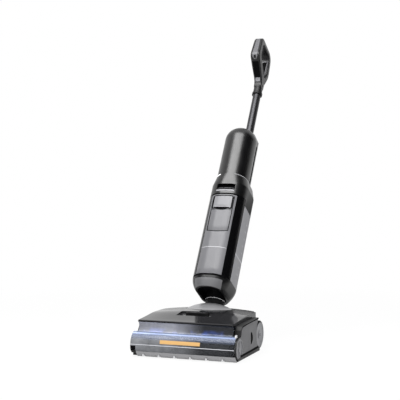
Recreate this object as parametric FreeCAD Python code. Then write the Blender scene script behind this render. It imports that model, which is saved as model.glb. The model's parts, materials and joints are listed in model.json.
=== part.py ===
"""Upright cordless wet dry floor scrubber, built as separate pieces.

Head pieces are drawn in the head frame: x across, y back from the front lip, z up from the floor.
Neck, body and handle are drawn upright about the pitch pivot (x across, y behind the pole axis,
z along the pole) and are then leaned back to the angle at which the machine is shown.
"""

import FreeCAD
import Part
import math
import os

V = FreeCAD.Vector

# Driving dimensions, mm and degrees
RECLINE = 32.3
ORIGIN_Y = 380.8
PIVOT_Y = 201.2
PIVOT_Z = 45.0
PIN_R = 6.0
SLOP = 0.3

# Head
DECK_HALF = 137.5
PLATE_IN = 133.5
PLATE_OUT = 136.5
SIDE_IN = 138.3
SIDE_OUT = 155.0
BULKHEAD_Y = 72.2
BULKHEAD_BACK = 75.0
FLOOR_Z = 9.0
FLOOR_TOP = 12.0
COVER_SPLIT_Y = 148.0
ROLLER_Y = 27.0
ROLLER_Z = 33.0
ROLLER_R = 32.7
AXLE_R = 4.0
BORE_R = 4.06
GUARD_Z = 34.0
GUARD_R = 38.5
GUARD_IN = 36.2
GUARD_LEFT = -151.5
GUARD_RIGHT = 148.8
NOSE_OUT = 152.0
CAP_Y = 19.5
CAP_Z = 35.5
CAP_R = 27.6
CAP_BASE = 13.0
DECK_SKIRT = 90.3
LIP_TOP = 18.0
LIP_LEFT = -135.5
LIP_RIGHT = 151.0
WINDOW_Y = -3.0
WINDOW_Z = 83.5
WINDOW_R = 20.5
MOTOR_Y = 97.0
MOTOR_Z = 62.0
ROLLER_PULLEY_R = 16.0
MOTOR_PULLEY_R = 8.0
WHEEL_Y = 250.0
WHEEL_R = 40.5
WHEEL_IN = 118.0
WHEEL_OUT = 138.0

# Neck
SHROUD_HALF = 66.0
SHROUD_R = 86.0
SHROUD_END_R = 70.0
NECK_R = 28.5
NECK_BORE = 24.0
NECK_TOP = 97.0

# Body, upright frame
HALF_W = 58.0
FRONT = -104.0
REAR = 40.0
CORNER = 48.0
CAP_BOTTOM = 101.0
TANK_BOTTOM = 139.0
TANK_TOP = 412.0
CLEAN_TOP = 392.0
LID_BOTTOM = 356.0
LID_TOP = 407.0
FLOAT_Y = -66.0
FLOAT_R = 11.5
CAGE_R = 12.5
SHOULDER_TURN = 452.0
SHOULDER_TOP = 482.0
HOUSING_TOP = 672.0
HOUSING_R = 50.0
HOUSING_Y = -54.0
DOME_SEAM = 650.0
DOME_ROUND = 44.0
SPINE_HALF = 30.0
SPINE_FRONT = -16.0
SPINE_REAR = 38.0
SPINE_TOP = 695.0
SPINE_ROUND = 36.0
TUBE_R = 13.0
TUBE_BOTTOM = 560.0
TUBE_TOP = 879.0
STRIP_X = 39.5
STRIP_Y = -63.0
WALL = 2.2

# Handle, upright frame
HANDLE_HALF = 16.0
HANDLE_WALL = 2.2
THROAT_R = 14.8
BUTTON_TILT = 41.3


def box(x0, x1, y0, y1, z0, z1):
    """Axis-aligned block between two corners."""
    return Part.makeBox(x1 - x0, y1 - y0, z1 - z0, V(x0, y0, z0))


def rod_x(y, z, radius, x0, x1):
    """Cylinder along X."""
    return Part.makeCylinder(radius, x1 - x0, V(x0, y, z), V(1, 0, 0))


def rod_z(x, y, radius, z0, z1):
    """Cylinder along Z."""
    return Part.makeCylinder(radius, z1 - z0, V(x, y, z0), V(0, 0, 1))


def tube_x(y, z, outer, inner, x0, x1):
    """Hollow cylinder along X."""
    return rod_x(y, z, outer, x0, x1).cut(rod_x(y, z, inner, x0 - 1, x1 + 1))


def tube_z(x, y, outer, inner, z0, z1):
    """Hollow cylinder along Z."""
    return rod_z(x, y, outer, z0, z1).cut(rod_z(x, y, inner, z0 - 1, z1 + 1))


def mirrored(shape):
    """The same piece on the other side of the machine."""
    return shape.mirror(V(0, 0, 0), V(1, 0, 0))


def both_sides(shape):
    """A piece and its mirror image as one shape."""
    return shape.fuse(mirrored(shape))


def group(shapes):
    """Separate solids kept in one node."""
    return Part.makeCompound([solid for shape in shapes for solid in shape.Solids])


def outline(start, *steps):
    """Closed YZ outline: a step is a point for a line, or (middle, end) for an arc."""
    def at(point):
        return V(0, point[0], point[1])

    edges = []
    here = start
    for step in list(steps) + [start]:
        if isinstance(step[0], tuple):
            edges.append(Part.Arc(at(here), at(step[0]), at(step[1])).toShape())
            here = step[1]
        elif step != here:
            edges.append(Part.LineSegment(at(here), at(step)).toShape())
            here = step
    return Part.Wire(edges)


def across(wire, x0, x1):
    """Extrude a YZ outline along X."""
    moved = wire.copy()
    moved.translate(V(x0, 0, 0))
    return Part.Face(moved).extrude(V(x1 - x0, 0, 0))


def rounded_outline(points, radii):
    """Closed YZ outline whose corners are rounded by tangent arcs."""
    count = len(points)
    steps = []
    for i in range(count):
        before, corner, after = points[i - 1], points[i], points[(i + 1) % count]
        to_before = V(before[0] - corner[0], before[1] - corner[1], 0).normalize()
        to_after = V(after[0] - corner[0], after[1] - corner[1], 0).normalize()
        half = to_before.getAngle(to_after) / 2
        reach = radii[i] / math.tan(half)
        middle = (to_before + to_after).normalize() * (radii[i] / math.sin(half) - radii[i])
        first = (corner[0] + to_before.x * reach, corner[1] + to_before.y * reach)
        last = (corner[0] + to_after.x * reach, corner[1] + to_after.y * reach)
        steps.append(first)
        steps.append(((corner[0] + middle.x, corner[1] + middle.y), last))
    return outline(steps[0], *steps[1:])


def rounded_rectangle(half_w, front, rear, radius, z):
    """Rounded rectangle wire across the body at height z."""
    c = radius * math.sqrt(0.5)
    x, y0, y1 = half_w - radius, front + radius, rear - radius
    arcs = [
        ((x, front), (x + c, y0 - c), (half_w, y0)),
        ((half_w, y1), (x + c, y1 + c), (x, rear)),
        ((-x, rear), (-x - c, y1 + c), (-half_w, y1)),
        ((-half_w, y0), (-x - c, y0 - c), (-x, front)),
    ]
    edges = []
    for i, arc in enumerate(arcs):
        points = [V(p[0], p[1], z) for p in arc]
        edges.append(Part.Arc(*points).toShape())
        following = arcs[(i + 1) % 4][0]
        start = V(following[0], following[1], z)
        if start.distanceToPoint(points[2]) > 0.001:
            edges.append(Part.LineSegment(points[2], start).toShape())
    return Part.Wire(edges)


def section(z0, z1, inset=0.0):
    """The body's main cross-section as a block between two heights."""
    wire = rounded_rectangle(HALF_W - inset, FRONT + inset, REAR - inset, CORNER - inset, z0)
    return Part.Face(wire).extrude(V(0, 0, z1 - z0))


def belt_outline(y0, z0, r0, y1, z1, r1):
    """Outline round two pulleys, the first the larger."""
    span = math.hypot(y1 - y0, z1 - z0)
    along = math.atan2(z1 - z0, y1 - y0)
    lean = math.acos((r0 - r1) / span)

    def on(y, z, radius, angle):
        return (y + radius * math.cos(angle), z + radius * math.sin(angle))

    return outline(
        on(y0, z0, r0, along + lean),
        (on(y0, z0, r0, along + math.pi), on(y0, z0, r0, along - lean)),
        on(y1, z1, r1, along - lean),
        (on(y1, z1, r1, along), on(y1, z1, r1, along + lean)),
    )


# ---------------------------------------------------------------- head


def deck_section(share, inset):
    """YZ wire under the deck's top at a share of the half width, 0 at the middle and 1 at the edge."""
    heights = [(13, 101.6, 101.4), (36, 104.5, 103), (79, 112, 106.4), (110, 116.5, 109.3),
               (150, 118, 109.9), (194, 117.5, 109.3), (250, 113.3, 104.5), (295, 105, 96)]
    tops = [V(0, y, mid + (edge - mid) * share ** 2 - inset) for y, mid, edge in heights]
    tops[0].y += inset
    front = V(0, 10 + inset, 99.4 - inset)
    curve = Part.BSplineCurve()
    curve.interpolate(tops)
    corners = [tops[-1], V(0, 295, 20), V(0, 10 + inset, 20), front, tops[0]]
    return Part.Wire([curve.toShape()] + Part.makePolygon(corners).Edges)


def rounded_end(half, y0, y1, radius, z0, z1):
    """Block with its two rear corners rounded."""
    block = box(-half, half, y0, y1, z0, z1)
    corners = [e for e in block.Edges if abs(e.CenterOfMass.y - y1) < 0.01 and abs(e.CenterOfMass.x) > 50]
    return block.makeFillet(radius, corners)


def deck_plan(inset, z0, z1):
    """Block with the head's plan outline, which steps in ahead of the wheels."""
    front = rounded_end(DECK_HALF - inset, 5, 233 - inset, 22 - inset, z0, z1)
    rear = rounded_end(115.5 - inset, 200, 291 - inset, 30 - inset, z0, z1)
    return front.fuse(rear).removeSplitter()


def deck_envelope(inset):
    """Solid under the domed deck, with its top and ends moved in by inset."""
    wires = []
    for share in (-1.0, -0.5, 0.0, 0.5, 1.0):
        wire = deck_section(share, inset)
        wire.translate(V(share * (DECK_HALF + 1), 0, 0))
        wires.append(wire)
    return Part.makeLoft(wires, True, False).common(deck_plan(inset, 15, 130))


def deck_shell():
    """The whole deck skin before it is split into front cover and rear deck."""
    return deck_envelope(0).cut(deck_envelope(WALL))


def shroud_space(extra):
    """Everything the neck shroud sweeps as the neck pitches, with some room."""
    return shroud_solid(extra, 360.0, 0.0)


def shroud_solid(grow, sweep, start):
    """Barrel sector about the pitch axis at the head frame's pivot, angles from straight up."""
    half = SHROUD_HALF + grow
    end_r = SHROUD_END_R + grow
    arc = Part.Arc(V(-half, 0, end_r), V(0, 0, SHROUD_R + grow), V(half, 0, end_r)).toShape()
    base = Part.makePolygon([V(half, 0, end_r), V(half, 0, 1), V(-half, 0, 1), V(-half, 0, end_r)])
    face = Part.Face(Part.Wire([arc] + base.Edges))
    solid = face.revolve(V(0, 0, 0), V(1, 0, 0), sweep)
    solid.rotate(V(0, 0, 0), V(1, 0, 0), start)
    return solid


def base_chassis():
    """Main moulding: floor, side plates, roller chamber wall, bulkhead, pivot and wheel brackets."""
    floor = box(-PLATE_IN, PLATE_IN, BULKHEAD_Y, 204, FLOOR_Z, FLOOR_TOP)
    tail = deck_plan(1.0, FLOOR_Z, FLOOR_TOP).common(box(-112, 112, 203, 300, 0, 20))
    bulkhead = box(-PLATE_IN, PLATE_IN, BULKHEAD_Y, BULKHEAD_BACK, FLOOR_Z, 96)
    chamber = tube_x(ROLLER_Y, GUARD_Z, 40, 37.5, -PLATE_IN, PLATE_IN)
    chamber = chamber.common(box(-200, 200, 45, 80, 25, 50))
    shelf_low = box(-PLATE_IN, PLATE_IN, 63, BULKHEAD_Y + 1, 24.5, 27)
    shelf_high = box(-PLATE_IN, PLATE_IN, 62, BULKHEAD_Y + 1, 47, 50)
    plate = outline((5.83, 5.5), (40, FLOOR_Z), (204, FLOOR_Z), (204, 88), (40, 84), (24, 80),
                    (20, 68.8), ((-8.5, GUARD_Z), (5.83, 5.5)))
    side = across(plate, PLATE_IN, PLATE_OUT)
    side = side.cut(rod_x(WINDOW_Y, WINDOW_Z, WINDOW_R + WALL + SLOP, 130, 140))
    side = side.cut(rod_x(ROLLER_Y, ROLLER_Z, 8, 130, 140))
    ledge = box(PLATE_OUT - 1, 152.5, 10, 204, 3.5, 12)
    wheel_wall = box(109, 112, 203, 275, FLOOR_Z, 78)
    wheel_wall = wheel_wall.fuse(box(109, PLATE_OUT, 203, 206, FLOOR_Z, 83.5))
    wheel_wall = wheel_wall.cut(rod_x(WHEEL_Y, WHEEL_R, BORE_R + 1, 100, 120))
    pedestal = box(68, 80, 184, 218, FLOOR_TOP - 0.5, 48)
    pedestal = pedestal.fuse(rod_x(PIVOT_Y, PIVOT_Z, 14, 68, 80))
    pedestal = pedestal.cut(rod_x(PIVOT_Y, PIVOT_Z, PIN_R, 60, 90))
    skin = deck_plan(1.0, FLOOR_Z, 83).cut(deck_plan(3.8, 0, 90))
    rear_wall = skin.common(box(-112, 112, 262, 300, FLOOR_Z, 23))
    rear_side = skin.common(box(72, 116, 261, 300, FLOOR_Z, 83))
    brace = box(90, 93, BULKHEAD_BACK - 1, 180, FLOOR_TOP - 0.5, 40)
    one_side = side.fuse([ledge, wheel_wall, pedestal, rear_side, brace])
    body = floor.fuse([tail, bulkhead, chamber, shelf_low, shelf_high, rear_wall])
    body = body.fuse([one_side, mirrored(one_side)])
    mouth = box(-42, 42, 58, 70, 29, 45)
    duct_hole = box(-20.2, 20.2, 70, 80, 28.8, 60.2)
    motor_hole = rod_x(MOTOR_Y, MOTOR_Z, 5, -140, -130)
    left_wall_pass = rod_x(WHEEL_Y, WHEEL_R, BORE_R + 1, 100, 120)
    return body.cut([mouth, duct_hole, motor_hole, left_wall_pass, mirrored(left_wall_pass)])


def base_plate():
    """Steel bottom plate under the chassis floor, thick at the front so the head stays down."""
    front = box(-130, 130, 78, 200, 6, FLOOR_Z)
    tail = box(-104, 104, 199, 268, 7, FLOOR_Z)
    weight = box(-130, 130, 104, 136, 4, FLOOR_Z)
    plate = front.fuse([tail, weight])
    return plate.cut([rod_z(x, y, 3.6, 5, 7.4) for x, y in screw_places()])


def screw_places():
    """Where the base screws go."""
    return [(x, y) for x in (-100, 0, 100) for y in (90, 190)]


def base_screws():
    """Pan-head screws that hold the base plate."""
    screws = []
    for x, y in screw_places():
        head = rod_z(x, y, 3.2, 5.6, 7.4)
        slot = box(x - 2.2, x + 2.2, y - 0.4, y + 0.4, 5.5, 6.3)
        screws.append(head.cut(slot))
    return group(screws)


def rear_squeegee():
    """Rubber blade behind the roller that the head rests on."""
    blade = outline((68, 24.3), (68.6, 8), (69.4, 0), (71.4, 0), (71.9, 8), (71.9, 24.3))
    return across(blade, -130, 130)


def front_lip():
    """Comb strip under the roller's front edge."""
    ring = tube_x(ROLLER_Y, GUARD_Z, GUARD_R + 1, GUARD_IN, LIP_LEFT, LIP_RIGHT)
    lip = ring.common(box(LIP_LEFT, LIP_RIGHT, -20, 12, 3, LIP_TOP))
    combs = [box(x - 3, x + 3, -20, 12, 2, 8) for x in range(-115, 130, 46)]
    return lip.cut(combs)


def roller_cover():
    """Clear lift-off cover: guard round the roller, concave window, front half of the deck."""
    guard = tube_x(ROLLER_Y, GUARD_Z, GUARD_R, GUARD_IN, GUARD_LEFT, GUARD_RIGHT)
    guard = guard.common(box(-200, 200, -20, 10.5, LIP_TOP + SLOP, 70))
    window = tube_x(WINDOW_Y, WINDOW_Z, WINDOW_R + WALL, WINDOW_R, -DECK_HALF, DECK_HALF)
    window = window.common(box(-200, 200, 5, 30, 65.5, 98.3))
    room = box(-200, 200, 5, COVER_SPLIT_Y, 96.3, 130)
    deck = deck_shell().common(room.fuse(box(-200, 200, 32, COVER_SPLIT_Y, DECK_SKIRT, 100)))
    pan = box(-52, 52, 70, 120, 102, 118).common(deck_envelope(0))
    cover = guard.fuse([window, deck, pan])
    return cover.cut(box(-50, 50, 72, 118, 104, 130))


def cover_latch():
    """Finger latch in the deck pan."""
    bar = box(-33, 33, 104, 114, 104.4, 115.2)
    return bar.cut(box(-26, 26, 102, 106.5, 107, 112))


def led_strip():
    """Light bar behind the lower edge of the window."""
    return box(-PLATE_IN, PLATE_IN, 17.6, 21.4, 69.2, 73)


def spray_bar():
    """Water distribution pipe above the roller, with drip nozzles."""
    pipe = tube_x(38, 80, 3.5, 2.2, -PLATE_IN, PLATE_IN)
    nozzles = [rod_z(x, 38, 1.8, 74.5, 78) for x in range(-112, 120, 28)]
    return pipe.fuse(nozzles)


def roller_scraper():
    """Blade that wrings the roller, screwed to the bulkhead."""
    blade = outline((52.8, 55), (BULKHEAD_Y, 64), (BULKHEAD_Y, 67.5), (51, 57.8))
    return across(blade, -130, 130)


def suction_duct():
    """Flat duct from the roller chamber back to the pivot."""
    outer = box(-20, 20, BULKHEAD_Y + 0.2, 150, 29, 60)
    return outer.cut(box(-18, 18, 70, 160, 31, 58))


def rear_deck_cover():
    """Opaque rear deck, opened for the shroud and for the neck's way down."""
    deck = deck_shell().common(box(-200, 200, COVER_SPLIT_Y + SLOP, 300, 84, 130))
    space = shroud_space(1.0)
    space.translate(V(0, PIVOT_Y, PIVOT_Z))
    neck_way = [box(-34, 34, PIVOT_Y, 300, 60, 130), box(-80, 80, 272, 300, 60, 130)]
    deck = deck.cut(space).cut(neck_way)
    side_room = both_sides(box(PLATE_IN - 1, 140, 140, 206.5, 60, DECK_SKIRT))
    return deck.cut(side_room)


def side_outline(front_edge):
    """Outline of a side cover, with its front edge between the nose and the top given as points."""
    return outline((-1.2, 12.4), (24, 12.6), (180, 14.6), ((166, 52), (186.3, 99)), (88.6, 96.8),
                   *front_edge, (24.4, 66.1), ((CAP_Y - 31, CAP_Z), (-1.2, 12.4)))


def guard_room(x0, x1):
    """Space that a side cover leaves for the end of the guard."""
    band = tube_x(ROLLER_Y, GUARD_Z, 60, GUARD_IN - SLOP, x0, x1)
    return band.common(box(x0, x1, -40, 12, 0, 80))


def finger_recess():
    """Half-round recess for pulling a side cover off."""
    recess = rod_x(115, 51, 17, SIDE_OUT - 2, SIDE_OUT + 1)
    return recess.common(box(150, 160, 114, 140, 30, 70))


def side_cover_right():
    """Right cover shell, with the round opening that the roller comes out of."""
    edge = side_outline([(40, 93.5), (31, 84)])
    solid = across(edge, SIDE_IN, SIDE_OUT)
    inner = across(edge.makeOffset2D(-WALL), SIDE_IN, SIDE_OUT - 3)
    opening = rod_x(CAP_Y, CAP_Z, CAP_R + 0.6, 140, 160)
    return solid.cut([inner, finger_recess(), opening, guard_room(SIDE_IN - 1, 151.4)])


def side_cover_left():
    """Left cover shell, drawn on the right, with its nose set in behind the guard's end."""
    edge = side_outline([(68, 94), (60, 84), (47, 66.1)])
    nose = box(NOSE_OUT, 160, -20, 48, 0, 100)
    nose_inner = box(NOSE_OUT - 3, 160, -20, 51, 0, 100)
    solid = across(edge, SIDE_IN, SIDE_OUT).cut(nose)
    inner = across(edge.makeOffset2D(-WALL), SIDE_IN, SIDE_OUT - 3).cut(nose_inner)
    return solid.cut([inner, finger_recess(), guard_room(SIDE_IN - 1, 160)])


def roller_end_cap():
    """Pull cap at the roller's free end, flat along the bottom."""
    disc = rod_x(CAP_Y, CAP_Z, CAP_R, 149.5, SIDE_OUT)
    dish = tube_x(CAP_Y, CAP_Z, CAP_R - 3.5, 7, SIDE_OUT - 2, SIDE_OUT + 2)
    tab = box(149.5, SIDE_OUT, CAP_Y - 3, CAP_Y + 3, 5, 63)
    return disc.cut(dish.cut(tab)).common(box(140, 160, -20, 60, CAP_BASE, 80))


def roller_core():
    """Plastic core tube with its end plugs and axle stubs."""
    core = tube_x(ROLLER_Y, ROLLER_Z, 20, 17, -131, 131)
    plugs = both_sides(rod_x(ROLLER_Y, ROLLER_Z, 17.5, 122, 131))
    stubs = both_sides(rod_x(ROLLER_Y, ROLLER_Z, AXLE_R, 121, 138.6))
    drive = rod_x(ROLLER_Y, ROLLER_Z, AXLE_R, -147, -138)
    return core.fuse([plugs, stubs, drive])


def roller_sleeve():
    """Microfibre sleeve, drawn as a plain soft tube."""
    return tube_x(ROLLER_Y, ROLLER_Z, ROLLER_R, 20, -130, 130)


def pulley(y, z, radius, bore):
    """Flanged toothed-belt pulley on the left."""
    wheel = rod_x(y, z, radius, -146, -140)
    flanges = rod_x(y, z, radius + 1.4, -147.2, -146.2).fuse(rod_x(y, z, radius + 1.4, -139.8, -138.8))
    return wheel.fuse(flanges).fuse(rod_x(y, z, radius - 1, -147, -139)).cut(rod_x(y, z, bore, -150, -130))


def bearing():
    """Plain bush that carries the roller's right-hand stub."""
    return tube_x(ROLLER_Y, ROLLER_Z, 8, BORE_R, PLATE_IN, PLATE_OUT)


def motor_pulley():
    """Small pulley turned in one with the roller motor's shaft."""
    shaft = rod_x(MOTOR_Y, MOTOR_Z, 2.5, -148, -92)
    return pulley(MOTOR_Y, MOTOR_Z, MOTOR_PULLEY_R, 1).fuse(shaft)


def drive_belt():
    """Belt round both pulleys."""
    outer = belt_outline(ROLLER_Y, ROLLER_Z, ROLLER_PULLEY_R + 1.9, MOTOR_Y, MOTOR_Z,
                         MOTOR_PULLEY_R + 1.9)
    inner = belt_outline(ROLLER_Y, ROLLER_Z, ROLLER_PULLEY_R + SLOP, MOTOR_Y, MOTOR_Z,
                         MOTOR_PULLEY_R + SLOP)
    return across(outer, -145.6, -140.4).cut(across(inner, -150, -130))


def roller_motor():
    """Motor can that drives the roller."""
    can = rod_x(MOTOR_Y, MOTOR_Z, 19, -PLATE_IN, -70)
    boss = rod_x(MOTOR_Y, MOTOR_Z, 7, -72.5, -68)
    return can.fuse(boss).cut(rod_x(MOTOR_Y, MOTOR_Z, 2.6, -140, -90))


def wheel_tyre():
    """Right-hand rubber tyre."""
    tyre = tube_x(WHEEL_Y, WHEEL_R, WHEEL_R, 35, WHEEL_IN, WHEEL_OUT)
    grooves = [tube_x(WHEEL_Y, WHEEL_R, WHEEL_R + 1, WHEEL_R - 1, x, x + 1.5)
               for x in (122, 127.2, 132.5)]
    return tyre.cut(grooves)


def wheel_hub():
    """Right-hand wheel hub with a dished face, moulded on its axle."""
    hub = rod_x(WHEEL_Y, WHEEL_R, 35, WHEEL_IN, WHEEL_OUT + 1)
    dish = tube_x(WHEEL_Y, WHEEL_R, 31, 12, WHEEL_OUT - 2, WHEEL_OUT + 2)
    back = tube_x(WHEEL_Y, WHEEL_R, 32, 9, WHEEL_IN - 1, WHEEL_OUT - 6)
    return hub.cut([dish, back]).fuse(rod_x(WHEEL_Y, WHEEL_R, AXLE_R, 98, 141))


def wheel_motor():
    """Right-hand gear motor that assists the wheel."""
    can = rod_x(WHEEL_Y, WHEEL_R, 15, 74, 96)
    gearbox = rod_x(WHEEL_Y, WHEEL_R, 18, 96, 109)
    return can.fuse(gearbox).cut(rod_x(WHEEL_Y, WHEEL_R, BORE_R, 97, 115))


def pivot_pin():
    """Right-hand pitch pin."""
    head = rod_x(PIVOT_Y, PIVOT_Z, 9, 80, 82.5)
    return rod_x(PIVOT_Y, PIVOT_Z, PIN_R, 52, 80.5).fuse(head)


# ---------------------------------------------------------------- neck


def neck_shroud():
    """Bright barrel-shaped shell that closes the deck opening as the neck pitches."""
    outer = shroud_solid(0.0, 136.0, -28.0)
    inner = shroud_solid(-3.0, 360.0, 0.0)
    long_inner = rod_x(0, 0, SHROUD_END_R - 3.0, -80, 80)
    shell = outer.cut(inner).cut(long_inner)
    shell = shell.cut(rod_z(0, 0, NECK_R, 20, 120))
    return shell.cut(box(-26, 26, -100, -20, -60, 16))


def neck_yoke():
    """Fork and sleeve that turn on the pitch pins."""
    arm = box(52, 59, -15, 15, 0, 64).fuse(rod_x(0, 0, 15, 52, 59))
    arm = arm.cut(rod_x(0, 0, PIN_R + 0.06, 40, 70))
    bridge = box(-59, 59, -27, 27, 56, 64).cut(box(-60, -50, -30, -15, 50, 70))
    barrel = rod_z(0, 0, NECK_R, 56, NECK_TOP)
    yoke = bridge.fuse([arm, mirrored(arm), barrel])
    return yoke.cut(rod_z(0, 0, NECK_BORE, 40, 110))


# ---------------------------------------------------------------- body


def swivel_sleeve():
    """Air sleeve that turns in the neck and carries the body."""
    sleeve = tube_z(0, 0, NECK_BORE - 0.07, 21.5, 50, TANK_BOTTOM - 0.3)
    flange = tube_z(0, 0, 25.9, 22, 104.2, 107)
    return sleeve.fuse(flange)


def swivel_ring():
    """Bright trim ring above the neck."""
    return tube_z(0, 0, 30.2, NECK_BORE + 0.3, NECK_TOP + SLOP, CAP_BOTTOM)


def cap_loft(inset):
    """The tapering bottom housing as a solid, moved in by inset."""
    sizes = [(TANK_BOTTOM, HALF_W, FRONT, REAR, 48), (132, 57, -104, 39.3, 47.5),
             (122, 54, -103.4, 37.3, 46), (111, 48.5, -101.7, 34, 43), (CAP_BOTTOM, 41, -99, 30, 38)]
    wires = [rounded_rectangle(w - inset, f + inset, r - inset, c - inset, z)
             for z, w, f, r, c in sizes]
    return Part.makeLoft(wires, True, False)


def cap_recess(grow, z0, z1):
    """Block of the recess in the bottom housing."""
    wire = rounded_rectangle(35.5 + grow, -93.5 - grow, 24.5 + grow, 33 + grow, z0)
    return Part.Face(wire).extrude(V(0, 0, z1 - z0))


def lower_cap():
    """Bottom housing with the dark recess that the duct comes out of."""
    outer = cap_loft(0.0)
    inner = cap_loft(WALL).common(box(-80, 80, -120, 60, CAP_BOTTOM + WALL, 150))
    walls = cap_recess(WALL, CAP_BOTTOM, 124).common(outer)
    duct = rod_z(0, 0, NECK_R, CAP_BOTTOM, 137)
    recess = cap_recess(0.0, CAP_BOTTOM - 1, 121.8).cut(duct)
    cap = outer.cut(inner).fuse([walls, duct]).cut(recess)
    return cap.cut(rod_z(0, 0, 26, CAP_BOTTOM - 1, 150))


def body_frame():
    """Dark spine frame: tank channel, battery bay and the two glossy corner strips."""
    z0, z1 = TANK_BOTTOM + 0.1, TANK_TOP
    core = section(z0, z1).common(box(-47.2, 47.2, -200, 15.5, z0, z1))
    tank_bay = box(-44.4, 44.4, -200, -38, z0 - 1, z1 + 1)
    battery_bay = box(-44.9, 44.9, -36, 13.3, z0 + 3, z1 + 1)
    strips = section(z0, z1).cut(section(z0 - 1, z1 + 1, 2.5))
    strips = strips.common(both_sides(box(STRIP_X, 70, -110, STRIP_Y, z0, z1)))
    base = section(z0, z0 + 3).common(box(-47.2, 47.2, -38, 15.5, z0, z0 + 3))
    frame = core.cut([tank_bay, battery_bay]).fuse([strips, base])
    return frame.cut(rod_z(0, -10, 18, z0 - 1, z0 + 20))


def dirty_space(inset, z0, z1):
    """Cross-section of the used-water tank."""
    half = STRIP_X - 0.3 - inset
    return section(z0, z1, inset).common(box(-half, half, -200, -38.4 - inset, z0, z1))


def dirty_tank_shell():
    """Used-water tank, open at the top."""
    z0 = TANK_BOTTOM + 0.4
    shell = dirty_space(0.0, z0, LID_BOTTOM)
    return shell.cut(dirty_space(2.2, z0 + 2.5, LID_BOTTOM + 1))


def tank_lid():
    """Lid of the used-water tank, with the latch pocket, inlet port and float cage."""
    lid = dirty_space(0.0, LID_BOTTOM + 0.2, LID_TOP)
    lid = lid.cut(dirty_space(2.5, LID_BOTTOM - 1, LID_BOTTOM + 40))
    pocket = box(-29.4, 29.4, -110, -93.5, 360.6, 401.4)
    pocket_wall = box(-31.5, 31.5, -101, -91, 358.5, 403.5).common(dirty_space(0.0, 356.2, LID_TOP))
    cage = tube_z(0, FLOAT_Y, CAGE_R + 1.5, CAGE_R, 300, 362)
    spokes = box(-38, 38, FLOAT_Y - 1.2, FLOAT_Y + 1.2, LID_BOTTOM + 0.2, 362)
    spokes = spokes.cut(rod_z(0, FLOAT_Y, CAGE_R, 290, 370))
    port = rod_z(0, -58, 14, 395, LID_TOP + 1)
    return lid.fuse([pocket_wall, cage, spokes]).cut([pocket, port])


def tank_float():
    """Float that shuts the air path when the tank is full."""
    cup = rod_z(0, FLOAT_Y, FLOAT_R, 304, 330)
    return cup.cut(rod_z(0, FLOAT_Y, FLOAT_R - 1.5, 303, 328))


def tank_filter():
    """Foam filter under the lid's port."""
    return tube_z(0, FLOAT_Y, 20, 8, 372, 394.5)


def tank_latch():
    """Sprung latch button on the lid, curved with the tank's face."""
    button = box(-29, 29, -110, -96, 361, 401).common(section(361, 401))
    grip = box(-20, 20, -105, -102.8, 366, 369)
    return button.cut(grip)


def latch_spring():
    """Coil spring behind the latch button, drawn as a tube."""
    spring = Part.makeCylinder(4, 2.2, V(0, -95.8, 381), V(0, 1, 0))
    return spring.cut(Part.makeCylinder(3, 4, V(0, -96.5, 381), V(0, 1, 0)))


def clean_space(inset, z0, z1):
    """U-shaped cross-section of the clean-water tank."""
    room = box(-80, 80, STRIP_Y + 0.3 + inset, 60, z0, z1)
    block = box(-47.6 - inset, 47.6 + inset, -200, 16 + inset, z0, z1)
    return section(z0, z1, inset).common(room).cut(block)


def clean_tank():
    """Clean-water tank that wraps the back of the body, with its filler neck."""
    z0 = TANK_BOTTOM + 0.3
    tank = clean_space(0.0, z0, CLEAN_TOP)
    tank = tank.cut(clean_space(1.7, z0 + 2, CLEAN_TOP - 2))
    filler = Part.makeCylinder(11, 14, V(0, 27, 360), V(0, 1, 0))
    bore = Part.makeCylinder(8.5, 30, V(0, 24, 360), V(0, 1, 0))
    return tank.fuse(filler.common(section(330, 391))).cut(bore)


def filler_plug():
    """Rubber plug of the clean-water tank."""
    stem = Part.makeCylinder(8.4, 12, V(0, 28.5, 360), V(0, 1, 0))
    head = Part.makeCylinder(12, 2.4, V(0, REAR + 0.1, 360), V(0, 1, 0))
    return stem.fuse(head)


def battery_cells():
    """Eight cylindrical cells in two layers."""
    cells = []
    for z in (149, 227):
        for x in (-28.5, -9.5, 9.5, 28.5):
            cells.append(rod_z(x, -10.5, 9.2, z, z + 70))
    return group(cells)


def water_pump():
    """Small pump behind the used-water channel, above the cells."""
    body = rod_z(-22, -11, 14, 318, 352)
    head = rod_z(-22, -11, 17, 352, 364)
    ports = box(-24, -20, -11, 11, 355, 360)
    return body.fuse([head, ports])


def shoulder_cover():
    """Shell between the tanks and the upper housing, with the carry slot and a skirt at the rear."""
    z0 = TANK_TOP + 0.2
    lower = section(z0, SHOULDER_TURN)
    top_wires = [rounded_rectangle(HALF_W, FRONT, REAR, CORNER, SHOULDER_TURN),
                 rounded_rectangle(50, FRONT, SPINE_REAR, 47, SHOULDER_TOP)]
    flare = Part.makeLoft(top_wires, True, True)
    low_inner = rounded_rectangle(HALF_W - 2.8, FRONT + 2.8, REAR - 2.8, CORNER - 2.8, SHOULDER_TURN)
    inner_wires = [low_inner, rounded_rectangle(47.2, FRONT + 2.8, SPINE_REAR - 2.8, 44.2, SHOULDER_TOP)]
    inner = section(z0 + 2.8, SHOULDER_TURN, 2.8).fuse(Part.makeLoft(inner_wires, True, True))
    inner = inner.common(box(-80, 80, -120, 60, z0 + 2.8, SHOULDER_TOP - 2.5))
    slot = box(-29, 29, -110, -88, 425, 445)
    slot_wall = box(-31.5, 31.5, -104, -85.5, 422.5, 447.5).common(section(415, 450))
    duct_hole = rod_z(0, -58, 14, z0 - 1, z0 + 5)
    skirt = clean_space(0.0, CLEAN_TOP + 0.4, z0 + 1).cut(clean_space(2.0, CLEAN_TOP + 2.4, z0 + 2))
    return lower.fuse(flare).cut(inner).fuse([slot_wall, skirt]).cut([slot, duct_hole])


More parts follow.
